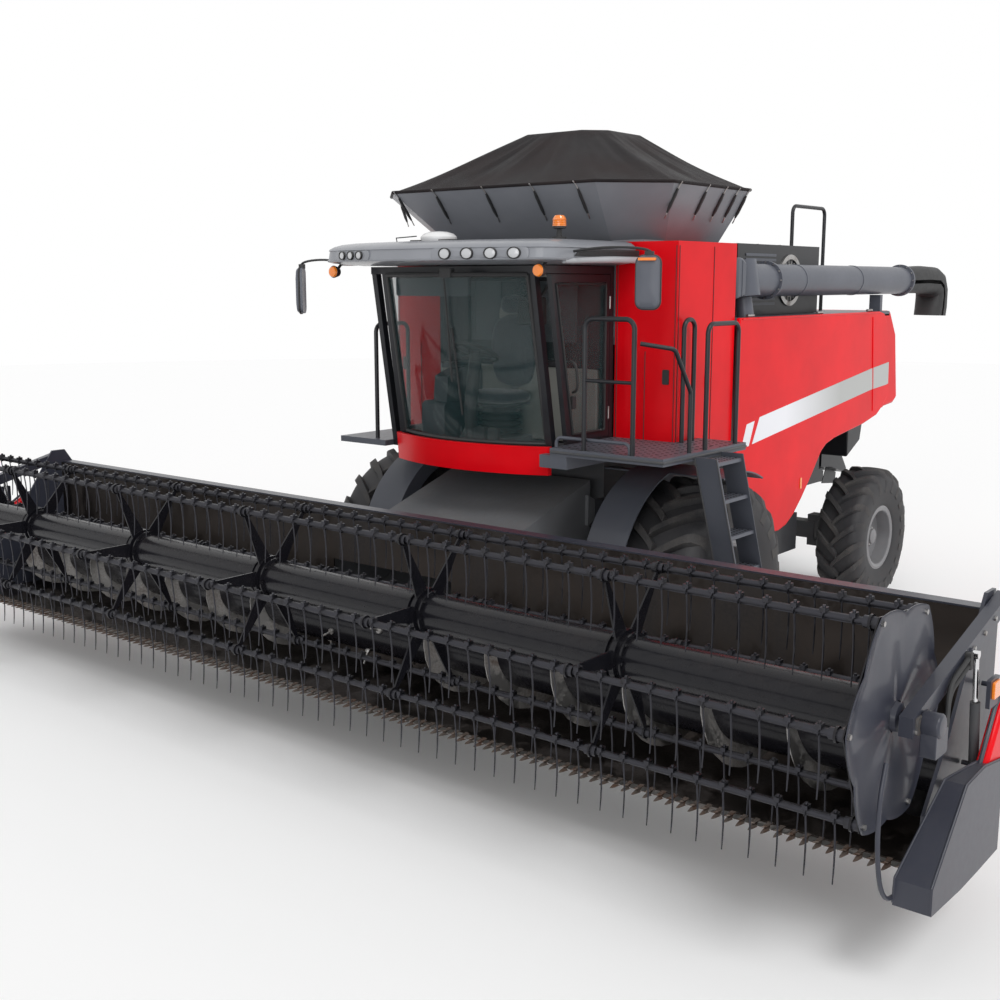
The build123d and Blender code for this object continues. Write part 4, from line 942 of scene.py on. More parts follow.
def flight(x0, x1, pitch, hand):
    """A helicoid blade: the turn grows evenly with x, and each row runs from the tube to the edge."""
    x = np.linspace(x0, x1, int(abs(x1 - x0) / pitch * 22))
    turn = hand * (x - x0) / pitch * 2 * math.pi
    radii = np.array([AUGER_CORE - 0.004, 0.22, AUGER_REACH])[None, :]
    grid = np.stack([x[:, None] + 0 * radii, AUGER_Y + radii * np.cos(turn)[:, None],
                     AUGER_Z + radii * np.sin(turn)[:, None]], axis=2)
    return shell(grid, 0.007)


half_core = [(AUGER_END, 0.0), (AUGER_END, AUGER_CORE), (0.70, AUGER_CORE), (0.68, 0.165)]
core_profile = [(-x, radius) for x, radius in half_core] + half_core[::-1]
core_tube = lathe(core_profile, "x", (0, AUGER_Y, AUGER_Z), 40)
blades = flight(0.66, AUGER_END - 0.02, 0.56, 1) + flight(-0.66, -AUGER_END + 0.02, 0.56, 1)
piece("cross_auger_tube", core_tube, "cross_auger", reel_black, replaces=["cross_auger"])
piece("cross_auger_flights", blades, "cross_auger", flow_steel, 60)
finger_x = np.linspace(-0.56, 0.56, 12)
finger_turn = np.arange(12) * 2.4
finger_roots = np.stack([finger_x, np.cos(finger_turn), np.sin(finger_turn)], axis=1)
fingers = []
for x, c, s in finger_roots:
    for start, end, radius, sides in ((0.14, 0.27, 0.008, 8), (0.155, 0.180, 0.024, 10)):
        line = [(x, AUGER_Y + reach * c, AUGER_Z + reach * s) for reach in (start, end)]
        fingers.append(tube(line, radius, sides))
piece("cross_auger_fingers", joined(fingers), "cross_auger", bar_steel)
print("flight edge radius:", round(AUGER_REACH, 3), "m")

# %% [markdown]
# ## The knife
#
# A long blade of triangular sections slides to and fro between forged fingers, and each finger is
# a guard that keeps stones off it. A guard is a lathe-like spike flattened underneath, with a
# lip above the blade. One guard and one section are made and copied every three inches.

# %% Guards and sections
knife_low, knife_high = span("knife_guards")
KNIFE_Y, KNIFE_Z = -2.99, knife_high[2]
KNIFE_TIP = knife_low[1]
along = np.array([0.0, 0.25, 0.6, 0.85, 1.0])
wide = np.array([0.019, 0.017, 0.012, 0.007, 0.001])
tall = np.array([0.013, 0.013, 0.010, 0.006, 0.001])
ring = np.array([(-1, -0.6), (-0.5, -1), (0.5, -1), (1, -0.6), (0.6, 0.8), (-0.6, 0.8)])
guard_grid = np.stack([
    wide[:, None] * ring[None, :, 0],
    KNIFE_Y + (KNIFE_TIP - KNIFE_Y) * along[:, None] + 0 * ring[None, :, 0],
    KNIFE_Z - 0.012 + tall[:, None] * ring[None, :, 1],
], axis=2)
guard = surface(guard_grid, closed_cols=True)
guard.faces.append(np.arange(6)[None])
lip_line = [(-0.010, -0.055), (0.010, -0.055), (0.016, 0.01), (-0.016, 0.01)]
lip = plate([(x, KNIFE_Y + y) for x, y in lip_line], KNIFE_Z + 0.006, KNIFE_Z + 0.012, "z")
section_line = [(-0.036, 0.01), (-0.007, -0.068), (0.007, -0.068), (0.036, 0.01)]
section = plate([(x, KNIFE_Y + y) for x, y in section_line], KNIFE_Z + 0.001, KNIFE_Z + 0.005, "z")
GUARD_PITCH = 0.0762
guard_x = (np.arange(120) - 59.5) * GUARD_PITCH
places = np.stack([guard_x, 0 * guard_x, 0 * guard_x], axis=1)
back_line = [(-0.012, -0.024), (0.05, -0.024), (0.05, 0.001), (-0.012, 0.001)]
bar_back = plate([(KNIFE_Y + y, KNIFE_Z + z) for y, z in back_line], knife_low[0], knife_high[0])
piece("knife_guard_row", guard.copies(places) + lip.copies(places) + bar_back, "feeder", rusty_steel,
      replaces=["knife_guards"])
piece("knife_sections", section.copies(places + [GUARD_PITCH / 2, 0, 0]), "feeder", bar_steel)
print("guards:", len(guard_x))

# %% [markdown]
# ## The cab's roof
#
# The roof is one large moulding with a bowed visor in front that shades the driver and carries
# the work lamps. In plan it is an arc, two straight sides and a straight rear. A few such
# outlines, one for each height, are joined into a shell: a rolled lip, a shallow band for the
# lamps, a raised upper edge, and a crown that falls towards the rain gutter.

# %% Roof shell
ROOF_REAR = -0.37


def roof_outline(half, front, bow, z, count=240):
    """One closed outline: the arc, the sides and the rear, with corners rounded by averaging neighbours."""
    across = np.linspace(-half, half, 60)
    arc = np.stack([across, front - bow * (1 - (across / half) ** 2)], axis=1)
    corners = np.vstack([arc, [[half, ROOF_REAR], [-half, ROOF_REAR]]])
    loop = np.vstack([corners, corners[:1]])
    walked = np.r_[0, np.cumsum(np.linalg.norm(np.diff(loop, axis=0), axis=1))]
    stations = np.linspace(0, walked[-1], count, endpoint=False)
    line = np.stack([np.interp(stations, walked, loop[:, k]) for k in (0, 1)], axis=1)
    rounded_line = sum(np.roll(line, shift, axis=0) for shift in range(-4, 5)) / 9
    return np.column_stack([rounded_line, np.full(count, z)])


# Height, half width, y of the front corners, bow
roof_rows = [
    (3.548, 0.90, -1.20, 0.17), (3.548, 1.00, -1.36, 0.19),
    (3.556, 1.08, -1.45, 0.20), (3.566, 1.165, -1.555, 0.195),
    (3.578, 1.195, -1.598, 0.19), (3.590, 1.200, -1.602, 0.19),
    (3.596, 1.192, -1.594, 0.19), (3.664, 1.186, -1.584, 0.19),
    (3.670, 1.192, -1.590, 0.19), (3.684, 1.188, -1.580, 0.19),
    (3.704, 1.168, -1.545, 0.19), (3.722, 1.135, -1.48, 0.195),
    (3.734, 1.08, -1.39, 0.20), (3.740, 0.98, -1.26, 0.19),
    (3.742, 0.60, -0.95, 0.10), (3.743, 0.15, -0.60, 0.02),
]
roof_grid = np.stack([roof_outline(half, front, bow, z) for z, half, front, bow in roof_rows])


def end_cap(outlines):
    """One row that draws an outline to its middle point: the outline's mean, repeated."""
    return np.repeat(outlines.mean(axis=1, keepdims=True), outlines.shape[1], axis=1)


roof_rows_closed = np.concatenate([end_cap(roof_grid[:1]), roof_grid, end_cap(roof_grid[-1:])])
roof_shape = surface(roof_rows_closed, closed_cols=True)
piece("roof_moulding", roof_shape, "machine", visor, 30, replaces=["cab_roof"])
BAND_FRONT, BAND_BOW, BAND_HALF = -1.590, 0.19, 1.19


def visor_y(x):
    """The lamp band's y at one x: the outline's own parabola."""
    return BAND_FRONT - BAND_BOW * (1 - (np.asarray(x) / BAND_HALF) ** 2)


print("roof outlines:", len(roof_rows))

# %% [markdown]
# ## Lamps in the visor
#
# Four work lamps sit side by side in a pressed frame on the left, and a smaller group on the
# right. A lamp is a black bezel, a bright bowl and a clear lens. All three are lathes about Y,
# widened to an oval, then turned so that they look straight out of the curved band.

# %% Frames, bezels, bowls and lenses
LAMP_WIDENING = 1.22


def band_frame(x0, x1, z0, z1, proud):
    """A raised panel with round ends that follows the band's curve."""
    ring = rounded(x0, x1, z0, z1, 0.03, 6)
    outer = np.stack([ring[:, 0], visor_y(ring[:, 0]) - proud, ring[:, 1]], axis=1)
    root = outer + [0, proud + 0.02, 0]
    middle = np.array([(x0 + x1) / 2, 0, (z0 + z1) / 2])
    rows = [root, outer]
    for shrink in (0.97, 0.66, 0.33, 0.0):
        flat = middle + (outer * [1, 0, 1] - middle * [1, 0, 1]) * shrink
        rows.append(np.stack([flat[:, 0], visor_y(flat[:, 0]) - proud - 0.002, flat[:, 2]], axis=1))
    return surface(np.stack(rows), closed_cols=True)


def lamp_parts(radius):
    """Bezel, bowl and lens of a lamp that looks along -Y, with its back at y = 0."""
    profiles = [
        [(0.0, 1.02), (0.018, 1.0), (0.020, 0.92), (0.012, 0.80), (0.0, 0.78), (0.0, 1.02)],
        [(0.001, 0.0), (0.002, 0.35), (0.006, 0.65), (0.013, 0.82)],
        [(0.020, 0.0), (0.018, 0.5), (0.013, 0.82)],
    ]
    parts = [lathe([(along, radius * share) for along, share in profile], "y", sides=sides)
             for profile, sides in zip(profiles, (36, 32, 32))]
    return [part.mirrored((LAMP_WIDENING, -1, 1)) for part in parts]


frame_left = band_frame(0.20, 1.03, 3.585, 3.668, 0.010)
frame_right = band_frame(-0.98, -0.50, 3.588, 3.664, 0.010)
piece("lamp_frames", frame_left + frame_right, "machine", visor, 30)
lamp_rows = [(x, 3.627, 0.044) for x in (0.33, 0.53, 0.73, 0.92)]
lamp_rows += [(x, 3.627, 0.034) for x in (-0.62, -0.74, -0.86)]
lamp_shapes = [[], [], []]
for x, z, radius in lamp_rows:
    slope = math.atan2(2 * BAND_BOW * x / BAND_HALF ** 2, 1)
    for shapes, part in zip(lamp_shapes, lamp_parts(radius)):
        shapes.append(part.turned([slope], "z").shifted((x, float(visor_y(x)) - 0.012, z)))
lamp_finishes = (("bezels", soft_rubber), ("bowls", chrome), ("lenses", clear_lens))
for (name, finish), shapes in zip(lamp_finishes, lamp_shapes):
    piece(f"visor_lamp_{name}", joined(shapes), "machine", finish, 40)
print("lamps in the visor:", len(lamp_rows))

# %% [markdown]
# ## Roof sides, beacon, dome and marker lamps
#
# Along each side the roof has a dark air intake between its upper edge and a bright moulding
# below, which sweeps down towards the front like a wing. A beacon flashes on the road, a flat
# dome on a plate receives position signals, and two amber lamps mark the machine's width.

# %% Side intakes and wings
wing_y = np.linspace(-1.40, -0.40, 24)
wing_drop = 0.045 * np.clip((-0.75 - wing_y) / 0.55, 0, 1) ** 1.5
wing_top, wing_foot = 3.612 - wing_drop * 0.4, 3.560 - wing_drop * 0.2
section = circle(14)
wing = np.stack([
    1.206 + 0.020 * np.cos(section)[None] - 0.05 * np.clip((-1.25 - wing_y) / 0.2, 0, 1)[:, None],
    wing_y[:, None] + 0 * section[None],
    (wing_top + wing_foot)[:, None] / 2 + ((wing_top - wing_foot) / 2)[:, None] * np.sin(section)[None],
], axis=2)
# Only the front end is drawn to a point: the rear end, close to the cabinets, is open.
wing_shape = surface(np.concatenate([end_cap(wing[:1]), wing]), closed_cols=True)
intake = plate([(-1.30, 3.606), (-0.42, 3.606), (-0.42, 3.662), (-1.22, 3.662)], 1.185, 1.199)
slat = block((1.196, 1.203), (-1.24, -0.45), (3.612, 3.617), 0.001)
slats = slat.copies([(0, 0, 0.011 * k) for k in range(4)])
piece("roof_wings", wing_shape.both(), "machine", silver, 40)
piece("roof_intakes", (intake + slats).both(), "machine", soft_rubber)

# %% Beacon, dome, aerial and marker lamps
beacon_at = (0.95, -1.16, 3.742)
foot = lathe([(0.0, 0.0), (0.0, 0.055), (0.012, 0.055), (0.016, 0.022), (0.07, 0.020),
              (0.078, 0.052), (0.095, 0.052), (0.095, 0.0)], "z", beacon_at, 28)
cap = lathe([(0.093, 0.0), (0.093, 0.054), (0.15, 0.050), (0.172, 0.036), (0.180, 0.0)], "z", beacon_at, 32)
rib = lathe([(0.10, 0.0505), (0.104, 0.0565), (0.108, 0.0505)], "z", beacon_at, 32)
ribs = rib.copies([(0, 0, 0.013 * k) for k in range(4)])
piece("beacon_foot", foot, "machine", soft_rubber)
piece("beacon_cap", cap + ribs, "machine", amber)
dome = lathe([(0.0, 0.0), (0.0, 0.14), (0.02, 0.15), (0.035, 0.148), (0.06, 0.12),
              (0.075, 0.07), (0.08, 0.0)], "z", (-0.20, -1.25, 3.742), 40)
dome_plate = block((-0.42, 0.02), (-1.36, -1.12), (3.738, 3.752), 0.004)
aerial = tube(np.array([[-0.62, -1.30, 3.74], [-0.63, -1.30, 3.775], [-0.40, -1.30, 3.785]]), 0.005, 6)
piece("receiver_dome", dome, "machine", trim_white)
piece("receiver_plate", dome_plate + aerial, "machine", soft_rubber)


def marker(x, y, z):
    """An amber lamp in a round rubber cup, on a short arm under the visor's corner."""
    cup = lathe([(0.0, 0.0), (0.0, 0.040), (0.045, 0.052), (0.050, 0.050), (0.050, 0.0)], "y", sides=28)
    glow = lathe([(0.048, 0.0), (0.048, 0.047), (0.066, 0.040), (0.074, 0.0)], "y", sides=28)
    turned_cup, turned_glow = (shape.mirrored((1, -1, 1)) for shape in (cup, glow))
    bend = smooth_path([(0, 0.01, 0.03), (0, 0.05, 0.07), (-0.04 * np.sign(x), 0.12, 0.09)], 5)
    arm = tube(bend, 0.012, 8)
    return (turned_cup + arm).shifted((x, y, z)), turned_glow.shifted((x, y, z))


left_cup, left_glow = marker(1.06, -1.52, 3.50)
right_cup, right_glow = marker(-1.13, -1.50, 3.50)
piece("marker_cups", left_cup + right_cup, "machine", soft_rubber)
piece("marker_lenses", left_glow + right_glow, "machine", amber)
print("roof fittings done")

# %% [markdown]
# ## Mirrors
#
# A mirror is a shallow moulded pan with rounded corners, hung from a bent tube that reaches out
# past the platform. The pan is a grid of rounded outlines that shrink towards its back, and the
# glass is a flat sheet set in the side that faces the driver.

# %% Mirror pans, glasses and arms
def mirror_set(x0, x1, z0, z1, y, root, turn):
    """Pan with its back forward, glass behind, and the arm from the roof's side to the pan's top."""
    outline = rounded(x0, x1, z0, z1, 0.055, 6)
    middle = np.array([(x0 + x1) / 2, (z0 + z1) / 2])
    rows = []
    for depth, share in ((0.052, 0.0), (0.058, 0.93), (0.060, 1.0), (0.020, 1.0), (0.004, 0.93),
                         (-0.004, 0.70), (-0.007, 0.35), (-0.008, 0.0)):
        line = middle + (outline - middle) * share
        rows.append(np.stack([line[:, 0], np.full(len(line), y + depth), line[:, 1]], axis=1))
    rim = np.stack([outline[:, 0], np.full(len(outline), y + 0.030), outline[:, 1]], axis=1)
    band = tube(np.vstack([rim, rim[:2]]), 0.009, 6)
    pan = surface(np.stack(rows)[::-1], closed_cols=True)
    bend = [root, (root[0] * 0.6 + middle[0] * 0.4, root[1], root[2] + 0.03),
            (middle[0], y + 0.05, z1 + 0.05), (middle[0], y + 0.045, z1 - 0.02)]
    arm = tube(smooth_path(bend, 6), 0.010, 10)
    clamp = block((middle[0] - 0.03, middle[0] + 0.03), (y + 0.02, y + 0.07), (z1 - 0.01, z1 + 0.03), 0.006)
    pan, band, clamp = (
        shape.shifted((-middle[0], -y, 0)).turned([turn], "z").shifted((middle[0], y, 0))
        for shape in (pan, band, clamp)
    )
    return pan, band + arm + clamp


left_pan, left_arm = mirror_set(1.805, 1.985, 3.225, 3.60, -1.40, (1.18, -1.30, 3.64), 0.25)
right_pan, right_arm = mirror_set(-1.83, -1.67, 3.14, 3.54, -1.40, (-1.15, -1.42, 3.58), -0.95)
piece("mirror_pans", left_pan + right_pan, "machine", slate, 40, replaces=["mirrors"])
piece("mirror_arms", left_arm + right_arm, "machine", soft_rubber, 40)
strip = block((1.83, 1.96), (-1.415, -1.400), (3.565, 3.585), 0.003)
strip = strip.shifted((-1.895, 1.40, 0)).turned([0.25], "z").shifted((1.895, -1.40, 0))
piece("mirror_strip", strip, "machine", amber)
print("mirrors:", 2)

# %% [markdown]
# ## Inside the cab
#
# Through the tinted screen one sees a seat on an air spring, a steering column, an armrest with
# its lever, and a screen hung from the roof. The seat's cushions are stuffed, so they are crowned
# closed forms: a rounded rectangle that swells towards the middle of its height. The air spring
# is a rubber bellows, a lathe whose radius goes in and out.

# %% Seat cushions
def stuffed(x, y, z, crown, power=3.2):
    """A closed cushion: superellipse outlines that shrink towards the top and foot of its height."""
    turn = circle(48)
    level = np.linspace(-1, 1, 17)[:, None]
    share = (1 - np.abs(level) ** power) ** (1 / power)
    round_x = np.sign(np.cos(turn)) * np.abs(np.cos(turn)) ** 0.45
    round_y = np.sign(np.sin(turn)) * np.abs(np.sin(turn)) ** 0.45
    half = [(b - a) / 2 for a, b in (x, y, z)]
    mid = [(a + b) / 2 for a, b in (x, y, z)]
    bulge = 1 + crown * (1 - level ** 2) * np.cos(2 * turn) ** 2
    return surface(np.stack([
        mid[0] + half[0] * share * round_x * bulge,
        mid[1] + half[1] * share * round_y * bulge,
        mid[2] + half[2] * level * (1 + 0.10 * (1 - share)) + 0 * round_x,
    ], axis=2), closed_cols=True)


cushion_shape = stuffed((-0.245, 0.245), (-0.925, -0.525), (2.397, 2.512), 0.02)
back_shape = stuffed((-0.225, 0.225), (-0.555, -0.455), (2.53, 3.13), 0.03)
head_shape = stuffed((-0.13, 0.13), (-0.545, -0.465), (3.15, 3.30), 0.02)
cushion = piece("seat_cushion", cushion_shape, "machine", upholstery, 60, replaces=["seat_cushions"])
backrest = piece("seat_back", back_shape, "machine", upholstery, 60)
headrest = piece("seat_headrest", head_shape, "machine", upholstery, 60)
level = np.linspace(0, 1, 57)
bellows_radius = 0.185 + 0.022 * np.cos(level * 5 * 2 * math.pi) - 0.02 * level
bellows = lathe(np.column_stack([level * 0.27, bellows_radius]), "z", (0, -0.71, 2.115), 36)
foot_plate = block((-0.21, 0.21), (-0.92, -0.50), (2.060, 2.116), 0.03)
bellows_plates = foot_plate + block((-0.20, 0.20), (-0.91, -0.52), (2.383, 2.395), 0.03)
piece("seat_bellows", bellows, "machine", soft_rubber)
piece("seat_plates", bellows_plates, "machine", moulded, bevel=0.004, replaces=["cab_controls"])
print("cushions:", 3)

# %% Column, wheel, console and screen
column_path = smooth_path([(0, -1.06, 2.06), (0, -1.10, 2.35), (0, -1.06, 2.62), (0, -1.02, 2.80)], 6)
column = tube(column_path, 0.055, 16)
boot = lathe([(0.0, 0.0), (0.0, 0.15), (0.05, 0.14), (0.10, 0.10), (0.16, 0.07), (0.16, 0.0)], "z",
    (0, -1.06, 2.06), 28)
turn = circle(48)
tilt = math.atan2(0.42, 0.90)
GRIP = 0.19
wheel_ring = np.stack([GRIP * np.cos(turn), GRIP * np.sin(turn) * math.cos(tilt),
                       -GRIP * np.sin(turn) * math.sin(tilt)], axis=1)
wheel_ring = wheel_ring + [0, -1.03, 2.84]
wheel = tube(np.vstack([wheel_ring, wheel_ring[:2]]), 0.015, 10)
spokes = [tube(np.array([[0, -1.03, 2.83], wheel_ring[k]]), 0.011, 8) for k in (4, 20, 36)]
hub = lathe([(-0.02, 0.0), (-0.02, 0.045), (0.02, 0.04), (0.02, 0.0)], "z", (0, -1.03, 2.835), 20)
console = plate([(-1.00, 2.40), (-0.98, 2.62), (-0.74, 2.70), (-0.52, 2.66), (-0.52, 2.40)], -0.50, -0.35)
armrest = block((-0.47, -0.38), (-0.95, -0.55), (2.69, 2.73), 0.03)
lever_path = smooth_path([(-0.425, -0.86, 2.72), (-0.425, -0.88, 2.80), (-0.425, -0.86, 2.86)], 5)
lever = tube(lever_path, 0.014, 10)
pod = block((-0.62, -0.36), (-1.02, -0.55), (2.06, 2.40), 0.05)
column_dress = joined([column, boot, wheel, *spokes, hub])
piece("steering_column", column_dress, "machine", soft_rubber, 40)
piece("arm_console", console + armrest + lever + pod, "machine", moulded, 40, bevel=0.008)
screen_case = block((0.50, 0.76), (-1.10, -1.06), (3.08, 3.30), 0.02)
screen_arm = tube(smooth_path([(0.63, -1.05, 3.25), (0.66, -0.95, 3.35), (0.70, -0.90, 3.47)], 5), 0.012, 8)
blind = block((-0.70, 0.10), (-1.235, -1.20), (3.30, 3.46), 0.02)
piece("cab_screen", screen_case + screen_arm, "machine", soft_rubber, bevel=0.006)
piece("sun_blind", blind, "machine", moulded)
rear_wall = block((-0.86, 0.86), (-0.50, -0.425), (2.08, 2.70), 0.04)
rear_wall = rear_wall + block((-0.20, 0.20), (-0.47, -0.43), (2.68, 3.20), 0.03)
headliner = block((-0.84, 0.84), (-1.15, -0.46), (3.455, 3.476), 0.08)
piece("cab_rear_trim", rear_wall, "machine", lining, bevel=0.01)
piece("cab_headliner", headliner, "machine", lining, bevel=0.006)
floor_mat = block((-0.80, 0.84), (-1.03, -0.48), (2.060, 2.068), 0.05)
pedals = block((0.10, 0.20), (-1.16, -1.12), (2.12, 2.24), 0.015).copies([(0, 0, 0), (0.14, 0, 0)])
piece("cab_mat_and_pedals", floor_mat + pedals, "machine", soft_rubber)
print("cab fitted out")

# %% [markdown]
# ## Seals, wiper and door hardware
#
# Glass is bonded into a rubber seal, which draws a thin black line round every pane. The seal is
# a tube that follows the pane's edge. The wiper hangs from the roof's edge over the middle of the
# screen, and the door has a bar handle, a latch and two hinges.

# %% Seals, wiper, handle and hinges
def screen_point(x_share, z):
    """A point on the outside of the bowed screen: x from -1 to 1 and z in metres."""
    up = (z - 2.13) / (3.478 - 2.13)
    half = 0.765 - 0.02 * up
    edge_y, bulge = -1.054 - 0.24 * up, 0.21
    radius = (half ** 2 + bulge ** 2) / (2 * bulge)
    x = half * x_share
    return np.array([x, edge_y - bulge + radius - math.sqrt(radius ** 2 - x ** 2), z])


rows = np.linspace(2.135, 3.472, 9)
seal = joined([tube([screen_point(share, z) for z in rows], 0.016, 8) for share in (1.0, -1.0)])
for z, radius in ((rows[0], 0.016), (rows[-1], 0.02)):
    seal = seal + tube([screen_point(share, z) for share in np.linspace(-1, 1, 21)], radius, 8)
wiper_line = np.array([screen_point(*place) for place in ((0.12, 3.44), (0.10, 3.1), (0.06, 2.62))])
wiper_line = wiper_line - [0, 0.03, 0]
blade_line = np.array([screen_point(0.13, z) for z in np.linspace(2.35, 3.05, 8)]) - [0, 0.014, 0]
wiper = tube(smooth_path(wiper_line, 6), 0.009, 6) + tube(blade_line, 0.008, 6)
wiper_box = block((0.04, 0.16), (-1.53, -1.46), (3.45, 3.52), 0.02)
piece("screen_seal", seal, "machine", soft_rubber)
piece("wiper", wiper + wiper_box, "machine", soft_rubber)

door_corners = [(-0.49, 2.215), (-0.93, 2.215), (-1.17, 3.40), (-0.49, 3.40), (-0.49, 2.215)]
door_line = np.array([(0.934, y, z) for y, z in door_corners])
dense = np.vstack([np.linspace(a, b, 12)[:-1] for a, b in zip(door_line, door_line[1:])])
door_seal = tube(np.vstack([dense, dense[:2]]), 0.010, 6)
handle_path = [(0.925, -0.93, 2.55), (0.985, -0.94, 2.57), (0.985, -0.965, 2.78), (0.925, -0.965, 2.80)]
handle = tube(smooth_path(handle_path, 5), 0.011, 8)
latch = block((0.925, 0.950), (-0.965, -0.915), (2.42, 2.52), 0.01)
piece("door_seal", door_seal + handle + latch, "door", soft_rubber)
hinge = lathe([(-0.05, 0.0), (-0.05, 0.008), (0.05, 0.008), (0.05, 0.0)], "z", (0.930, -0.426, 0), 14)
piece("door_hinges", hinge.copies([(0, 0, 2.35), (0, 0, 3.25)]), "door", bar_steel)
print("glass sealed")

# %% [markdown]
# ## Side panels
#
# Each side of the body is one big hinged panel, cut high over the rear wheel and low behind the
# front one, with corners rounded by a hand's breadth. Its outline goes once round the edge. The
# rolled edge comes from a bevel, and a bead stiffens the sheet where its rear part turns in.

# %% Panels and beads
panel_line = np.array([
    (0.622, 3.112), (3.66, 3.112), (3.78, 3.09), (3.86, 3.00), (3.93, 2.80), (3.985, 2.52), (3.99, 2.32),
    (3.95, 2.20), (3.85, 2.11), (3.70, 2.03), (3.36, 1.965), (2.91, 1.915), (2.66, 1.885), (2.48, 1.845),
    (2.37, 1.785), (2.29, 1.70), (2.17, 1.57), (1.97, 1.375), (1.80, 1.235), (1.66, 1.16), (1.52, 1.128),
    (1.36, 1.125), (1.24, 1.145), (1.14, 1.20), (1.06, 1.29), (0.94, 1.46), (0.622, 1.925),
])
PANEL_X = 1.522, 1.562
panel = plate(panel_line, *PANEL_X)
bead_path = np.array([(PANEL_X[1], 3.47, 3.06), (PANEL_X[1] + 0.002, 3.50, 2.75),
    (PANEL_X[1] + 0.002, 3.54, 2.45), (PANEL_X[1], 3.58, 2.08)])
bead = tube(smooth_path(bead_path, 6), 0.007, 8)
lip = tube(np.column_stack([np.full(2, PANEL_X[1]), (0.66, 3.62), (3.10, 3.10)]), 0.008, 6)
catch = block((PANEL_X[1], PANEL_X[1] + 0.010), (1.27, 1.37), (1.20, 1.24), 0.012)
hinge_bar = lathe([(-0.06, 0.0), (-0.06, 0.014), (0.06, 0.014), (0.06, 0.0)], "y", (1.508, 0, 3.125), 12)
hinges = hinge_bar.copies([(0, y, 0) for y in (0.9, 2.3, 3.5)])
for side, sign in SIDES:
    parts = [shape.on_side(sign) for shape in (panel, bead + lip, catch, hinges)]
    piece(f"{side}_panel_sheet", parts[0], f"{side}_panel", red, 40, bevel=0.010,
        replaces=[f"side_panel_{side}"])
    piece(f"{side}_panel_bead", parts[1], f"{side}_panel", red)
    piece(f"{side}_panel_catch", parts[2], f"{side}_panel", soft_rubber)
    piece(f"{side}_panel_hinges", parts[3], "machine", bar_steel)
print("panel outline points:", len(panel_line))

# %% [markdown]
# ## The stripe
#
# A band of film climbs along each panel towards the rear. It starts white and fades to silver, so
# its colour is read from how far back the point lies. A slanted bar stands in front of it.
# Nothing is written on it.

# %% Film and its colour
film = Finish("stripe_film", "silver_panel", (0.7, 0.7, 0.72), 0.35, Coat_Weight=0.2)
along = film.node("SeparateXYZ", {}, {0: film.place}, output="Y")
fade = film.between(along, 1.55 + AXLE, 2.75 + AXLE)
film.set("Base Color", film.blend(fade, (0.80, 0.81, 0.85), (0.40, 0.41, 0.40)))
film.relief(film.noise(0.3), 0.02)
FILM_X = PANEL_X[1] + 0.0004, PANEL_X[1] + 0.0024
bands = [
    [(0.91, 2.00), (3.52, 2.31), (3.90, 2.335), (3.965, 2.345), (3.955, 2.575), (3.86, 2.565), (3.50, 2.53),
    (1.04, 2.23)],
    [(0.715, 1.985), (0.85, 1.99), (0.945, 2.205), (0.80, 2.185)],
]
# The reflector takes the glowing amber lens finish, so its glow is a painted glint.
reflector = block((FILM_X[0], FILM_X[1] + 0.004), (1.915, 1.945), (1.47, 1.575), 0.005)
for side, sign in SIDES:
    stripe = plate(bands[0], *FILM_X) + plate(bands[1], *FILM_X)
    piece(f"{side}_stripe", stripe.on_side(sign), f"{side}_panel", film)
    piece(f"{side}_reflector", reflector.on_side(sign), f"{side}_panel", amber)
print("stripe bands:", len(bands))

# %% [markdown]
# ## Cabinets, tank and the box before the auger
#
# The tall cabinets beside the tank are doors on a frame: a gap runs round each, and small latches
# hold them. A grey housing leads grain from the tank into the unloading auger. The tank's walls
# are stiffened by pressed ribs.

# %% Door gaps, latches, housing and ribs
gap_lines = [
    [(0.955, -0.352, 2.0), (0.955, -0.352, 3.70)], [(1.505, -0.352, 2.0), (1.505, -0.352, 3.70)],
    [(1.522, -0.33, 2.02), (1.522, -0.33, 3.70)], [(1.522, 0.22, 2.02), (1.522, 0.22, 3.70)],
    [(1.23, -0.352, 2.02), (1.23, -0.352, 2.86)],
]
gaps = joined([tube(np.linspace(*np.array(line), 4), 0.0035, 5) for line in gap_lines])
piece("cabinet_gaps", gaps.both(), "machine", soft_rubber)
latch_plate = block((1.521, 1.529), (0.12, 0.18), (2.55, 2.66), 0.01)
latch_plate = latch_plate + block((1.40, 1.46), (-0.359, -0.351), (2.60, 2.72), 0.01)
piece("cabinet_latches", latch_plate.both(), "machine", soft_rubber)
housing = plate([(0.612, 3.27), (0.775, 3.30), (0.775, 3.575), (0.700, 3.62), (0.612, 3.62)], 1.195, 1.53)
housing_band = block((1.19, 1.535), (0.69, 0.70), (3.29, 3.60), 0.01)
piece("auger_feed_housing", housing, "machine", slate, bevel=0.02)
piece("auger_feed_band", housing_band, "machine", slate)
rib = block((-0.02, 0.02), (-0.012, 0.0), (2.96, 3.70), 0.01)
tank_ribs = rib.copies([(x, -0.330, 0) for x in np.linspace(-0.9, 0.9, 7)])
piece("tank_ribs", tank_ribs, "machine", tank_grey, bevel=0.004)
print("cabinets and tank detailed")

# %% [markdown]
# ## Unloading auger, hood and exhaust
#
# The auger's tube is rolled in lengths that are joined by flanges with bolts, and a rest carries
# its middle. The engine's hood has slatted intakes, a rotary screen that keeps chaff out of the
# radiator, and a bent exhaust.

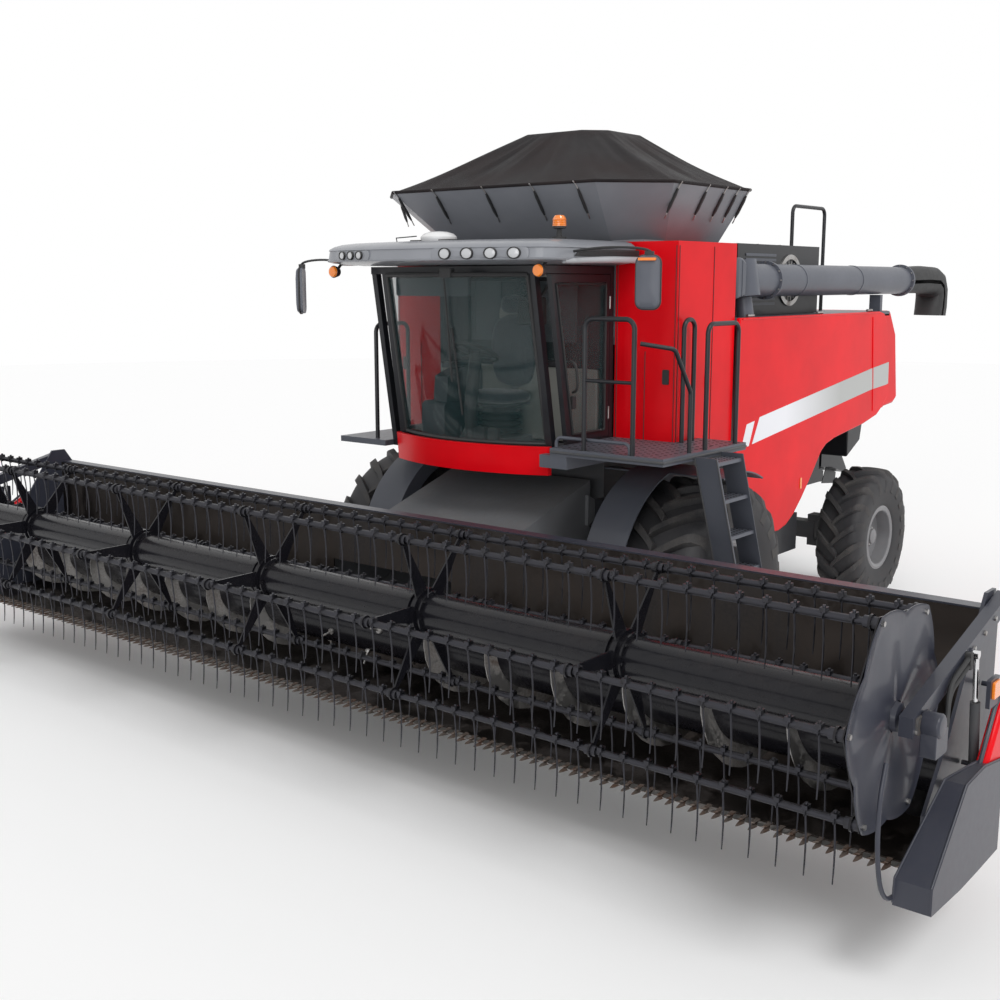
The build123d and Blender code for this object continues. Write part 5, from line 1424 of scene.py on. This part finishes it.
# %% Tube flanges, spout bands, hood slats and screen
TUBE_X, TUBE_Z = 1.38, 3.43
SCREEN_PLACE = (1.183, 2.30, 3.43)
FLANGES = (1.42, 4.60)
flange = lathe([(-0.014, 0.146), (-0.014, 0.172), (0.014, 0.172), (0.014, 0.146)], "y", (TUBE_X, 0, TUBE_Z),
    40)
flanges = flange.copies([(0, y, 0) for y in FLANGES])
bolt = lathe([(-0.022, 0.0), (-0.022, 0.008), (0.022, 0.008), (0.022, 0.0)], "y",
    (TUBE_X, 0, TUBE_Z + 0.160), 6)
bolt_ring = bolt.turned(np.arange(12) * math.pi / 6, "y", (TUBE_X, 0, TUBE_Z))
strap_band = lathe([(-0.03, 0.1455), (-0.03, 0.1495), (0.03, 0.1495), (0.03, 0.1455)], "y",
    (TUBE_X, 2.0, TUBE_Z), 40)
piece("auger_flanges", flanges + strap_band + strap_band.shifted((0, 1.3, 0)), "unloader", slate, 40)
piece("auger_bolts", bolt_ring.copies([(0, y, 0) for y in FLANGES]), "unloader", bar_steel)
# y, z, half width, half height
spout_rows = [
    (4.62, 3.43, 0.150, 0.150), (4.80, 3.435, 0.158, 0.160), (5.10, 3.44, 0.162, 0.165),
    (5.45, 3.43, 0.163, 0.168), (5.66, 3.38, 0.163, 0.19), (5.76, 3.28, 0.163, 0.21),
    (5.77, 3.12, 0.16, 0.22), (5.75, 3.03, 0.158, 0.22),
]
lean = np.radians([0, 0, 0, -8, -35, -65, -88, -92])
around_spout = circle(40)
side_share = np.sign(np.cos(around_spout)) * np.abs(np.cos(around_spout)) ** 0.7
rise_share = np.sign(np.sin(around_spout)) * np.abs(np.sin(around_spout)) ** 0.7
spout_grid = []
for (y, z, half_x, half_z), angle in zip(spout_rows, lean):
    centre = np.array([TUBE_X, y - 0.17 * (angle < -0.5) * abs(math.sin(angle)), z])
    up = np.array([0, math.sin(-angle), math.cos(angle)])
    sideways = np.outer(side_share * half_x, [1, 0, 0])
    spout_grid.append(centre + sideways + np.outer(rise_share * half_z * 0.92, up))
spout_shell = shell(np.stack(spout_grid), 0.008)
piece("auger_spout_boot", spout_shell, "unloader", soft_rubber, 40, replaces=["auger_spout"])

slat = block((1.181, 1.187), (1.40, 2.00), (3.20, 3.225), 0.008)
hood_slats = slat.copies([(0, 0, 0.045 * k) for k in range(11)])
screen_ring = lathe([(-0.004, 0.20), (-0.004, 0.245), (0.012, 0.245), (0.012, 0.20)], "x", SCREEN_PLACE, 48)
screen_bars = block((1.180, 1.186), (2.10, 2.50), (3.426, 3.434), 0.004)
screen_rows = screen_bars.turned(np.arange(9) * math.pi / 9, "x", SCREEN_PLACE)
rings_in = joined([
    lathe([(0.0, r), (0.0, r + 0.006), (0.004, r + 0.006), (0.004, r)], "x", SCREEN_PLACE, sides)
    for r, sides in ((0.05, 32), (0.10, 40), (0.15, 40))
])
piece("hood_slats", hood_slats, "machine", slate)
piece("rotary_screen", screen_ring + screen_rows + rings_in, "machine", bar_steel)
top_seam = block((-1.15, 1.15), (0.0, 0.012), (3.758, 3.764), 0.003)
piece("hood_seams", top_seam.copies([(0, y, 0) for y in (1.7, 2.15)]), "machine", soft_rubber)
muffler = lathe([(0.0, 0.0), (0.0, 0.09), (0.02, 0.10), (0.12, 0.10), (0.14, 0.085), (0.14, 0.0)], "z",
    (-0.70, 2.50, 3.76), 36)
piece("exhaust_collar", muffler, "machine", cast)
print("auger and hood detailed")

# %% [markdown]
# ## Rear end
#
# The rear hood throws the straw down to a chopper, whose vanes fan it out. Lamps sit in rubber
# frames at its upper corners. Each lens is a rounded block that stands a little proud of its frame.

# %% Rear lamps, vanes and grille
lamp_frame = block((0.98, 1.30), (4.52, 4.56), (2.30, 2.42), 0.02)
lens_red = block((1.15, 1.29), (4.555, 4.572), (2.315, 2.405), 0.015)
lens_amber = block((0.99, 1.13), (4.555, 4.572), (2.315, 2.405), 0.015)
piece("rear_lamp_frames", lamp_frame.both(), "machine", soft_rubber, bevel=0.004)
piece("rear_lamps_red", lens_red.both(), "machine", red_lens, bevel=0.004)
piece("rear_lamps_amber", lens_amber.both(), "machine", amber, bevel=0.004)
vane = plate([(4.50, 1.10), (4.86, 1.06), (4.88, 1.19), (4.60, 1.28)], -0.004, 0.004)
vanes = vane.copies([(x, 0, 0) for x in np.linspace(-0.62, 0.62, 9)])
piece("chopper_vanes", vanes, "machine", black)
hood_rib = tube(np.array([(-1.40, 4.565, 2.15), (1.40, 4.565, 2.15)]), 0.014, 8)
hood_ribs = hood_rib.copies([(0, 0, 0), (0, -0.035, 0.22), (0, -0.07, 0.44)])
piece("rear_hood_ribs", hood_ribs, "machine", red)
print("rear end detailed")

# %% [markdown]
# ## Ladder and platform
#
# The ladder is two wide channels with their edges folded outwards, and the steps between them are
# punched so that boots grip. The platform is a tread plate in an angle frame. Worn edges shine.

# %% Channel edges, punched steps and tread plate
LADDER_TOP_Y, LADDER_TOP_Z, LADDER_LEAN = -0.810, 2.110, 0.40


def stile_line(x, spread):
    """Two ends of one long edge of the ladder."""
    z = np.array([2.105, 0.485])
    return np.column_stack([np.full(2, x), LADDER_TOP_Y + (LADDER_TOP_Z - z) * LADDER_LEAN + spread, z])


stiles = [stile_line(x, spread) for spread in (-0.004, 0.408) for x in (1.979, 2.166)]
piece("ladder_edges", joined([tube(line, 0.006, 6) for line in stiles]), "machine", frame_grey)
bumps = lathe([(0.0, 0.0), (0.0, 0.010), (0.004, 0.008), (0.005, 0.0)], "z", sides=8)
step_bumps = []
for k in range(6):
    z = 0.540 + 1.520 * k / 5
    y = LADDER_TOP_Y + (LADDER_TOP_Z - z) * LADDER_LEAN
    field = [(2.07 + dx, y + 0.05 + 0.045 * j, z + 0.014) for dx in (-0.05, 0.0, 0.05) for j in range(8)]
    step_bumps.append(bumps.copies(field))
piece("ladder_grip", joined(step_bumps), "machine", black)
tread_points = [(x, y, 2.140) for x in np.arange(0.98, 1.95, 0.075) for y in np.arange(-1.22, -0.38, 0.075)]
tread_points += [(x, y, 2.140) for x in np.arange(1.56, 1.95, 0.075) for y in np.arange(-0.34, 0.0, 0.075)]
tear = block((-0.016, 0.016), (-0.004, 0.004), (-0.001, 0.0025), 0.004)
tread = tear.copies(tread_points[::2]) + tear.turned([math.pi / 2], "z").copies(tread_points[1::2])
piece("platform_tread", tread, "machine", black)
frame_rail = tube(np.array([(0.95, -1.256, 2.11), (1.975, -1.256, 2.11), (1.976, 0.01, 2.11)]), 0.010, 6)
piece("platform_edge", frame_rail, "machine", frame_grey)
print("tread marks:", len(tread_points))

# %% [markdown]
# ## Ends of the header
#
# The reel hangs between two arms. A hydraulic motor turns it from the left arm's tip, and its
# hoses are clipped to the arm, so they move with it and stay stiff. A bent guard tube leads the
# crop past the end plate, and a red shield covers the drive behind the divider. Each divider is
# folded sheet with a rolled rim and a row of bolts.

# %% Reel drive, arm flanges, guard tube and shield
motor = lathe([(0.0, 0.0), (0.0, 0.055), (0.02, 0.062), (0.09, 0.062), (0.10, 0.05), (0.10, 0.0)], "x",
    (4.692, REEL_Y, REEL_Z), 28)
motor_block = block((4.70, 4.78), (REEL_Y - 0.05, REEL_Y + 0.11), (REEL_Z - 0.16, REEL_Z - 0.03), 0.015)
ports = lathe([(0.0, 0.0), (0.0, 0.016), (0.035, 0.016), (0.035, 0.0)], "y",
    (4.74, REEL_Y + 0.11, REEL_Z - 0.07), 12)
port_pair = ports + ports.shifted((0, 0, -0.05))
slope = (1.690 - 1.343) / (-2.10 + 3.30)
hose_path = []
for k, lift in enumerate((0.02, -0.022)):
    points = [(4.74, REEL_Y + 0.14, REEL_Z - 0.07 - 0.05 * k),
              (4.735, REEL_Y + 0.22, REEL_Z - 0.05 - 0.05 * k),
              (4.708, REEL_Y + 0.30, REEL_Z + 0.30 * slope + lift)]
    points += [(4.708, REEL_Y + s, REEL_Z + s * slope + lift) for s in (0.45, 0.6)]
    hose_path.append(tube(smooth_path(points, 5), 0.013, 10))
clip = block((4.690, 4.722), (REEL_Y + 0.56, REEL_Y + 0.60),
    (REEL_Z + 0.58 * slope - 0.045, REEL_Z + 0.58 * slope + 0.045), 0.008)
arm_bolts = lathe([(0.0, 0.0), (0.0, 0.014), (0.010, 0.014), (0.012, 0.0)], "x", (4.690, 0, 0), 6)
bolt_places = [(0, REEL_Y + s, REEL_Z + s * slope) for s in (-0.08, 0.70, 0.86, 1.02)]
bearing = block((4.690, 4.702), (REEL_Y - 0.09, REEL_Y + 0.09), (REEL_Z - 0.045, REEL_Z + 0.045), 0.02)
piece("reel_motor", motor + motor_block + port_pair, "reel_carrier", header_slate, 40, bevel=0.004)
piece("reel_hoses", hose_path[0] + hose_path[1] + clip, "reel_carrier", soft_rubber)
piece("reel_arm_bolts", arm_bolts.copies(bolt_places).both(), "reel_carrier", bar_steel)
piece("reel_bearings", bearing.both(), "reel_carrier", cast)

guard_path = [(4.640, -3.60, 1.22), (4.640, -3.66, 1.05), (4.640, -3.655, 0.80), (4.640, -3.60, 0.60),
              (4.645, -3.52, 0.50), (4.660, -3.44, 0.50), (4.680, -3.38, 0.53)]
guard = tube(smooth_path(guard_path, 6), 0.012, 10)
guard_foot = block((4.655, 4.70), (-3.46, -3.38), (0.49, 0.56), 0.01)
piece("guard_tube", (guard + guard_foot).both(), "feeder", header_slate, 45)
shield_line = [(-2.74, 0.96), (-2.52, 1.23), (-2.40, 1.30), (-2.16, 1.30), (-2.10, 1.22),
               (-2.10, 0.80), (-2.30, 0.72), (-2.50, 0.75)]
shield = plate(shield_line, 4.770, 4.835)
frame_line = [(-2.76, 0.95), (-2.54, 1.24), (-2.41, 1.32), (-2.14, 1.32), (-2.08, 1.22), (-2.08, 0.80)]
shield_frame = tube([(4.80, y, z) for y, z in frame_line], 0.012, 8)
stays = joined([tube([(x, y, z) for x in (4.62, 4.79)], 0.014, 8) for y, z in ((-2.20, 1.24), (-2.45, 0.86))])
piece("end_shield", shield.both(), "feeder", red, 40, bevel=0.02)
piece("end_shield_frame", (shield_frame + stays).both(), "feeder", header_slate)
# The reflector takes the glowing amber lens finish, so its glow is a painted glint.
end_reflector = block((4.812, 4.828), (-2.66, -2.56), (1.31, 1.40), 0.008)
reflector_plate = block((4.790, 4.812), (-2.68, -2.54), (1.26, 1.415), 0.01)
piece("end_reflector", end_reflector.both(), "feeder", amber, bevel=0.003)
piece("end_reflector_plate", reflector_plate.both(), "feeder", header_slate)

rim_line = np.array([(-3.472, 0.478), (-3.472, 0.604), (-3.060, 0.988), (-2.800, 1.002), (-2.500, 0.952)])
rim = tube(np.column_stack([(4.661, 4.664, 4.735, 4.785, 4.785), rim_line]), 0.007, 8)
outer_rim = tube(np.column_stack([np.full(5, 4.842), rim_line]), 0.006, 8)
divider_bolt = lathe([(0.0, 0.0), (0.0, 0.011), (0.006, 0.008), (0.007, 0.0)], "x", sides=8).mirrored()
bolt_spots = ((-2.76, 0.55), (-2.76, 0.75), (-2.55, 0.55), (-2.55, 0.75), (-2.76, 0.93))
bolts = divider_bolt.copies([(4.774, y, z) for y, z in bolt_spots])
piece("divider_rims", (rim + outer_rim).both(), "feeder", header_slate)
piece("divider_bolts", bolts.both(), "feeder", bar_steel)
print("header ends dressed")

# %% [markdown]
# ## Wheels, hood louvres and rear corners
#
# A bright ring of nuts and a flatter cap sit on each hub, over the painted ones. The engine's
# hood breathes through rows of louvres, each a folded lip. Behind the side panels, fixed corner
# sheets close the body, and the straw hood narrows to a chute.

# %% Nuts and caps
nut = lathe([(0.0, 0.0), (0.0, 0.017), (0.022, 0.017), (0.026, 0.011), (0.030, 0.0)], "x", sides=6)
cap = lathe([(0.0, 0.0), (0.0, 0.075), (0.012, 0.080), (0.045, 0.070), (0.060, 0.045), (0.062, 0.0)], "x",
    sides=32)
for place in ("front", "rear"):
    low, high = span(f"{place}_rim_left")
    half = (high[0] - low[0]) / 2
    hub_x, wheel_y, wheel_z = (high + low) / 2 + [0.42 * half, 0, 0]
    ring = 0.118 if place == "front" else 0.085
    turns = np.arange(10) * math.pi / 5
    nuts = nut.copies([(hub_x, wheel_y + ring * math.cos(a), wheel_z + ring * math.sin(a)) for a in turns])
    centre = cap.shifted((hub_x, wheel_y, wheel_z))
    for side, sign in SIDES:
        body = f"{place}_wheel_{side}"
        piece(f"{place}_nuts_{side}", nuts.on_side(sign), body, bar_steel)
        piece(f"{place}_cap_{side}", centre.on_side(sign), body, rim_grey)
    print(place, "hub face at", round(float(hub_x), 3))

# %% Louvres and corner sheets
louvre = plate([(2.952, 0.0), (2.966, -0.004), (2.968, 0.002), (2.952, 0.026)], -0.30, 0.30)
louvres = louvre.copies([(x, 0, 3.25 + 0.05 * k) for x in (-0.55, 0.30) for k in range(8)])
corner = plate([(3.55, 2.06), (4.02, 2.08), (4.09, 2.20), (4.12, 2.60), (4.10, 3.09), (3.55, 3.09)], 1.442,
    1.500)
piece("rear_corners", corner.both(), "machine", red, 40, bevel=0.012)
hood_sheet = plate([(4.062, 2.06), (4.45, 2.09), (4.56, 2.15), (4.44, 2.85), (4.25, 3.11), (4.062, 3.11)],
    -1.44, 1.44)
straw_chute = plate([(4.062, 1.50), (4.40, 1.66), (4.50, 2.075), (4.062, 2.075)], -1.10, 1.10)
piece("rear_hood_sheet", hood_sheet, "machine", red, 40, bevel=0.03, replaces=["rear_hood"])
piece("straw_chute", straw_chute, "machine", black, 40, bevel=0.012)
piece("hood_louvres", louvres, "machine", black)
print("louvres:", 16)

# %% [markdown]
# ## Floor, light and camera
#
# A machine this size is best seen in even, shadowless light. So a bright sky does most of the
# work, one large, soft sun gives the panels their shape, and a weaker low sun lights the
# undersides that face forward. The floor is nearly white, and it stays lit and shadowed like any
# surface, so the wheels stand on something. The sky is a little stronger for the camera and in
# reflections than as a lamp, so that the background is white while the paint keeps its depth.

# %% Floor and sky
floor_finish = Finish("studio_floor", "silver_panel", (0.93, 0.93, 0.93), 0.9)
floor_finish.set("Specular IOR Level", 0.0)
floor_shape = lathe([(0.0, 0.0), (0.0, 12.0), (0.0, 45.0)], "z", (0, 0, 0), 64)
floor_mesh = bpy.data.meshes.new("studio_floor")
floor_mesh.from_pydata(floor_shape.points.tolist(), [], floor_shape.faces[0].tolist())
floor_mesh.materials.append(floor_finish.material)
floor = bpy.data.objects.new("studio_floor", floor_mesh)
bpy.context.scene.collection.objects.link(floor)
floor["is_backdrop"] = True

world = bpy.data.worlds.new("studio_sky")
bpy.context.scene.world = world
world.use_nodes = True
sky = world.node_tree
background = sky.nodes["Background"]
background.inputs["Color"].default_value = (1, 1, 1, 1)
rays = sky.nodes.new("ShaderNodeLightPath")
seen = None
for ray in ("Is Camera Ray", "Is Glossy Ray", "Is Transmission Ray"):
    if seen is None:
        seen = rays.outputs[ray]
        continue
    either = sky.nodes.new("ShaderNodeMath")
    either.operation = "MAXIMUM"
    sky.links.new(seen, either.inputs[0])
    sky.links.new(rays.outputs[ray], either.inputs[1])
    seen = either.outputs[0]
strength = sky.nodes.new("ShaderNodeMapRange")
SKY_LAMP, SKY_SEEN = 0.70, 1.0
strength.inputs["To Min"].default_value = SKY_LAMP
strength.inputs["To Max"].default_value = SKY_SEEN
sky.links.new(seen, strength.inputs["Value"])
sky.links.new(strength.outputs["Result"], background.inputs["Strength"])
print("sky as a lamp:", SKY_LAMP, "seen:", SKY_SEEN)

# %% Sun and camera
bpy.context.scene.view_settings.view_transform = "Standard"
sun_data = bpy.data.lights.new("soft_sun", "SUN")
sun_data.energy, sun_data.angle = 1.25, math.radians(25)
sun = bpy.data.objects.new("soft_sun", sun_data)
sun.rotation_euler = (math.radians(38), math.radians(8), math.radians(62))
bpy.context.scene.collection.objects.link(sun)

fill_data = bpy.data.lights.new("low_fill", "SUN")
fill_data.energy, fill_data.angle = 0.9, math.radians(40)
fill = bpy.data.objects.new("low_fill", fill_data)
fill.rotation_euler = (math.radians(82), 0.0, math.radians(20))
bpy.context.scene.collection.objects.link(fill)

camera_data = bpy.data.cameras.new("camera")
camera_data.sensor_width, camera_data.lens = 36.0, 44.64
camera_data.clip_end = 200.0
camera = bpy.data.objects.new("camera", camera_data)
camera.location = (6.67, -8.97 + AXLE, 3.42)
camera.rotation_euler = (math.radians(80.0), 0.0, math.radians(38.9))
bpy.context.scene.collection.objects.link(camera)
bpy.context.scene.camera = camera
print("camera at", tuple(round(v, 3) for v in camera.location))

# %% [markdown]
# ## Closing the scene
#
# The box round the dressed machine is printed.

# %% Sizes and finish
low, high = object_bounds()
print("visual box:", [round(v, 3) for v in low], [round(v, 3) for v in high])
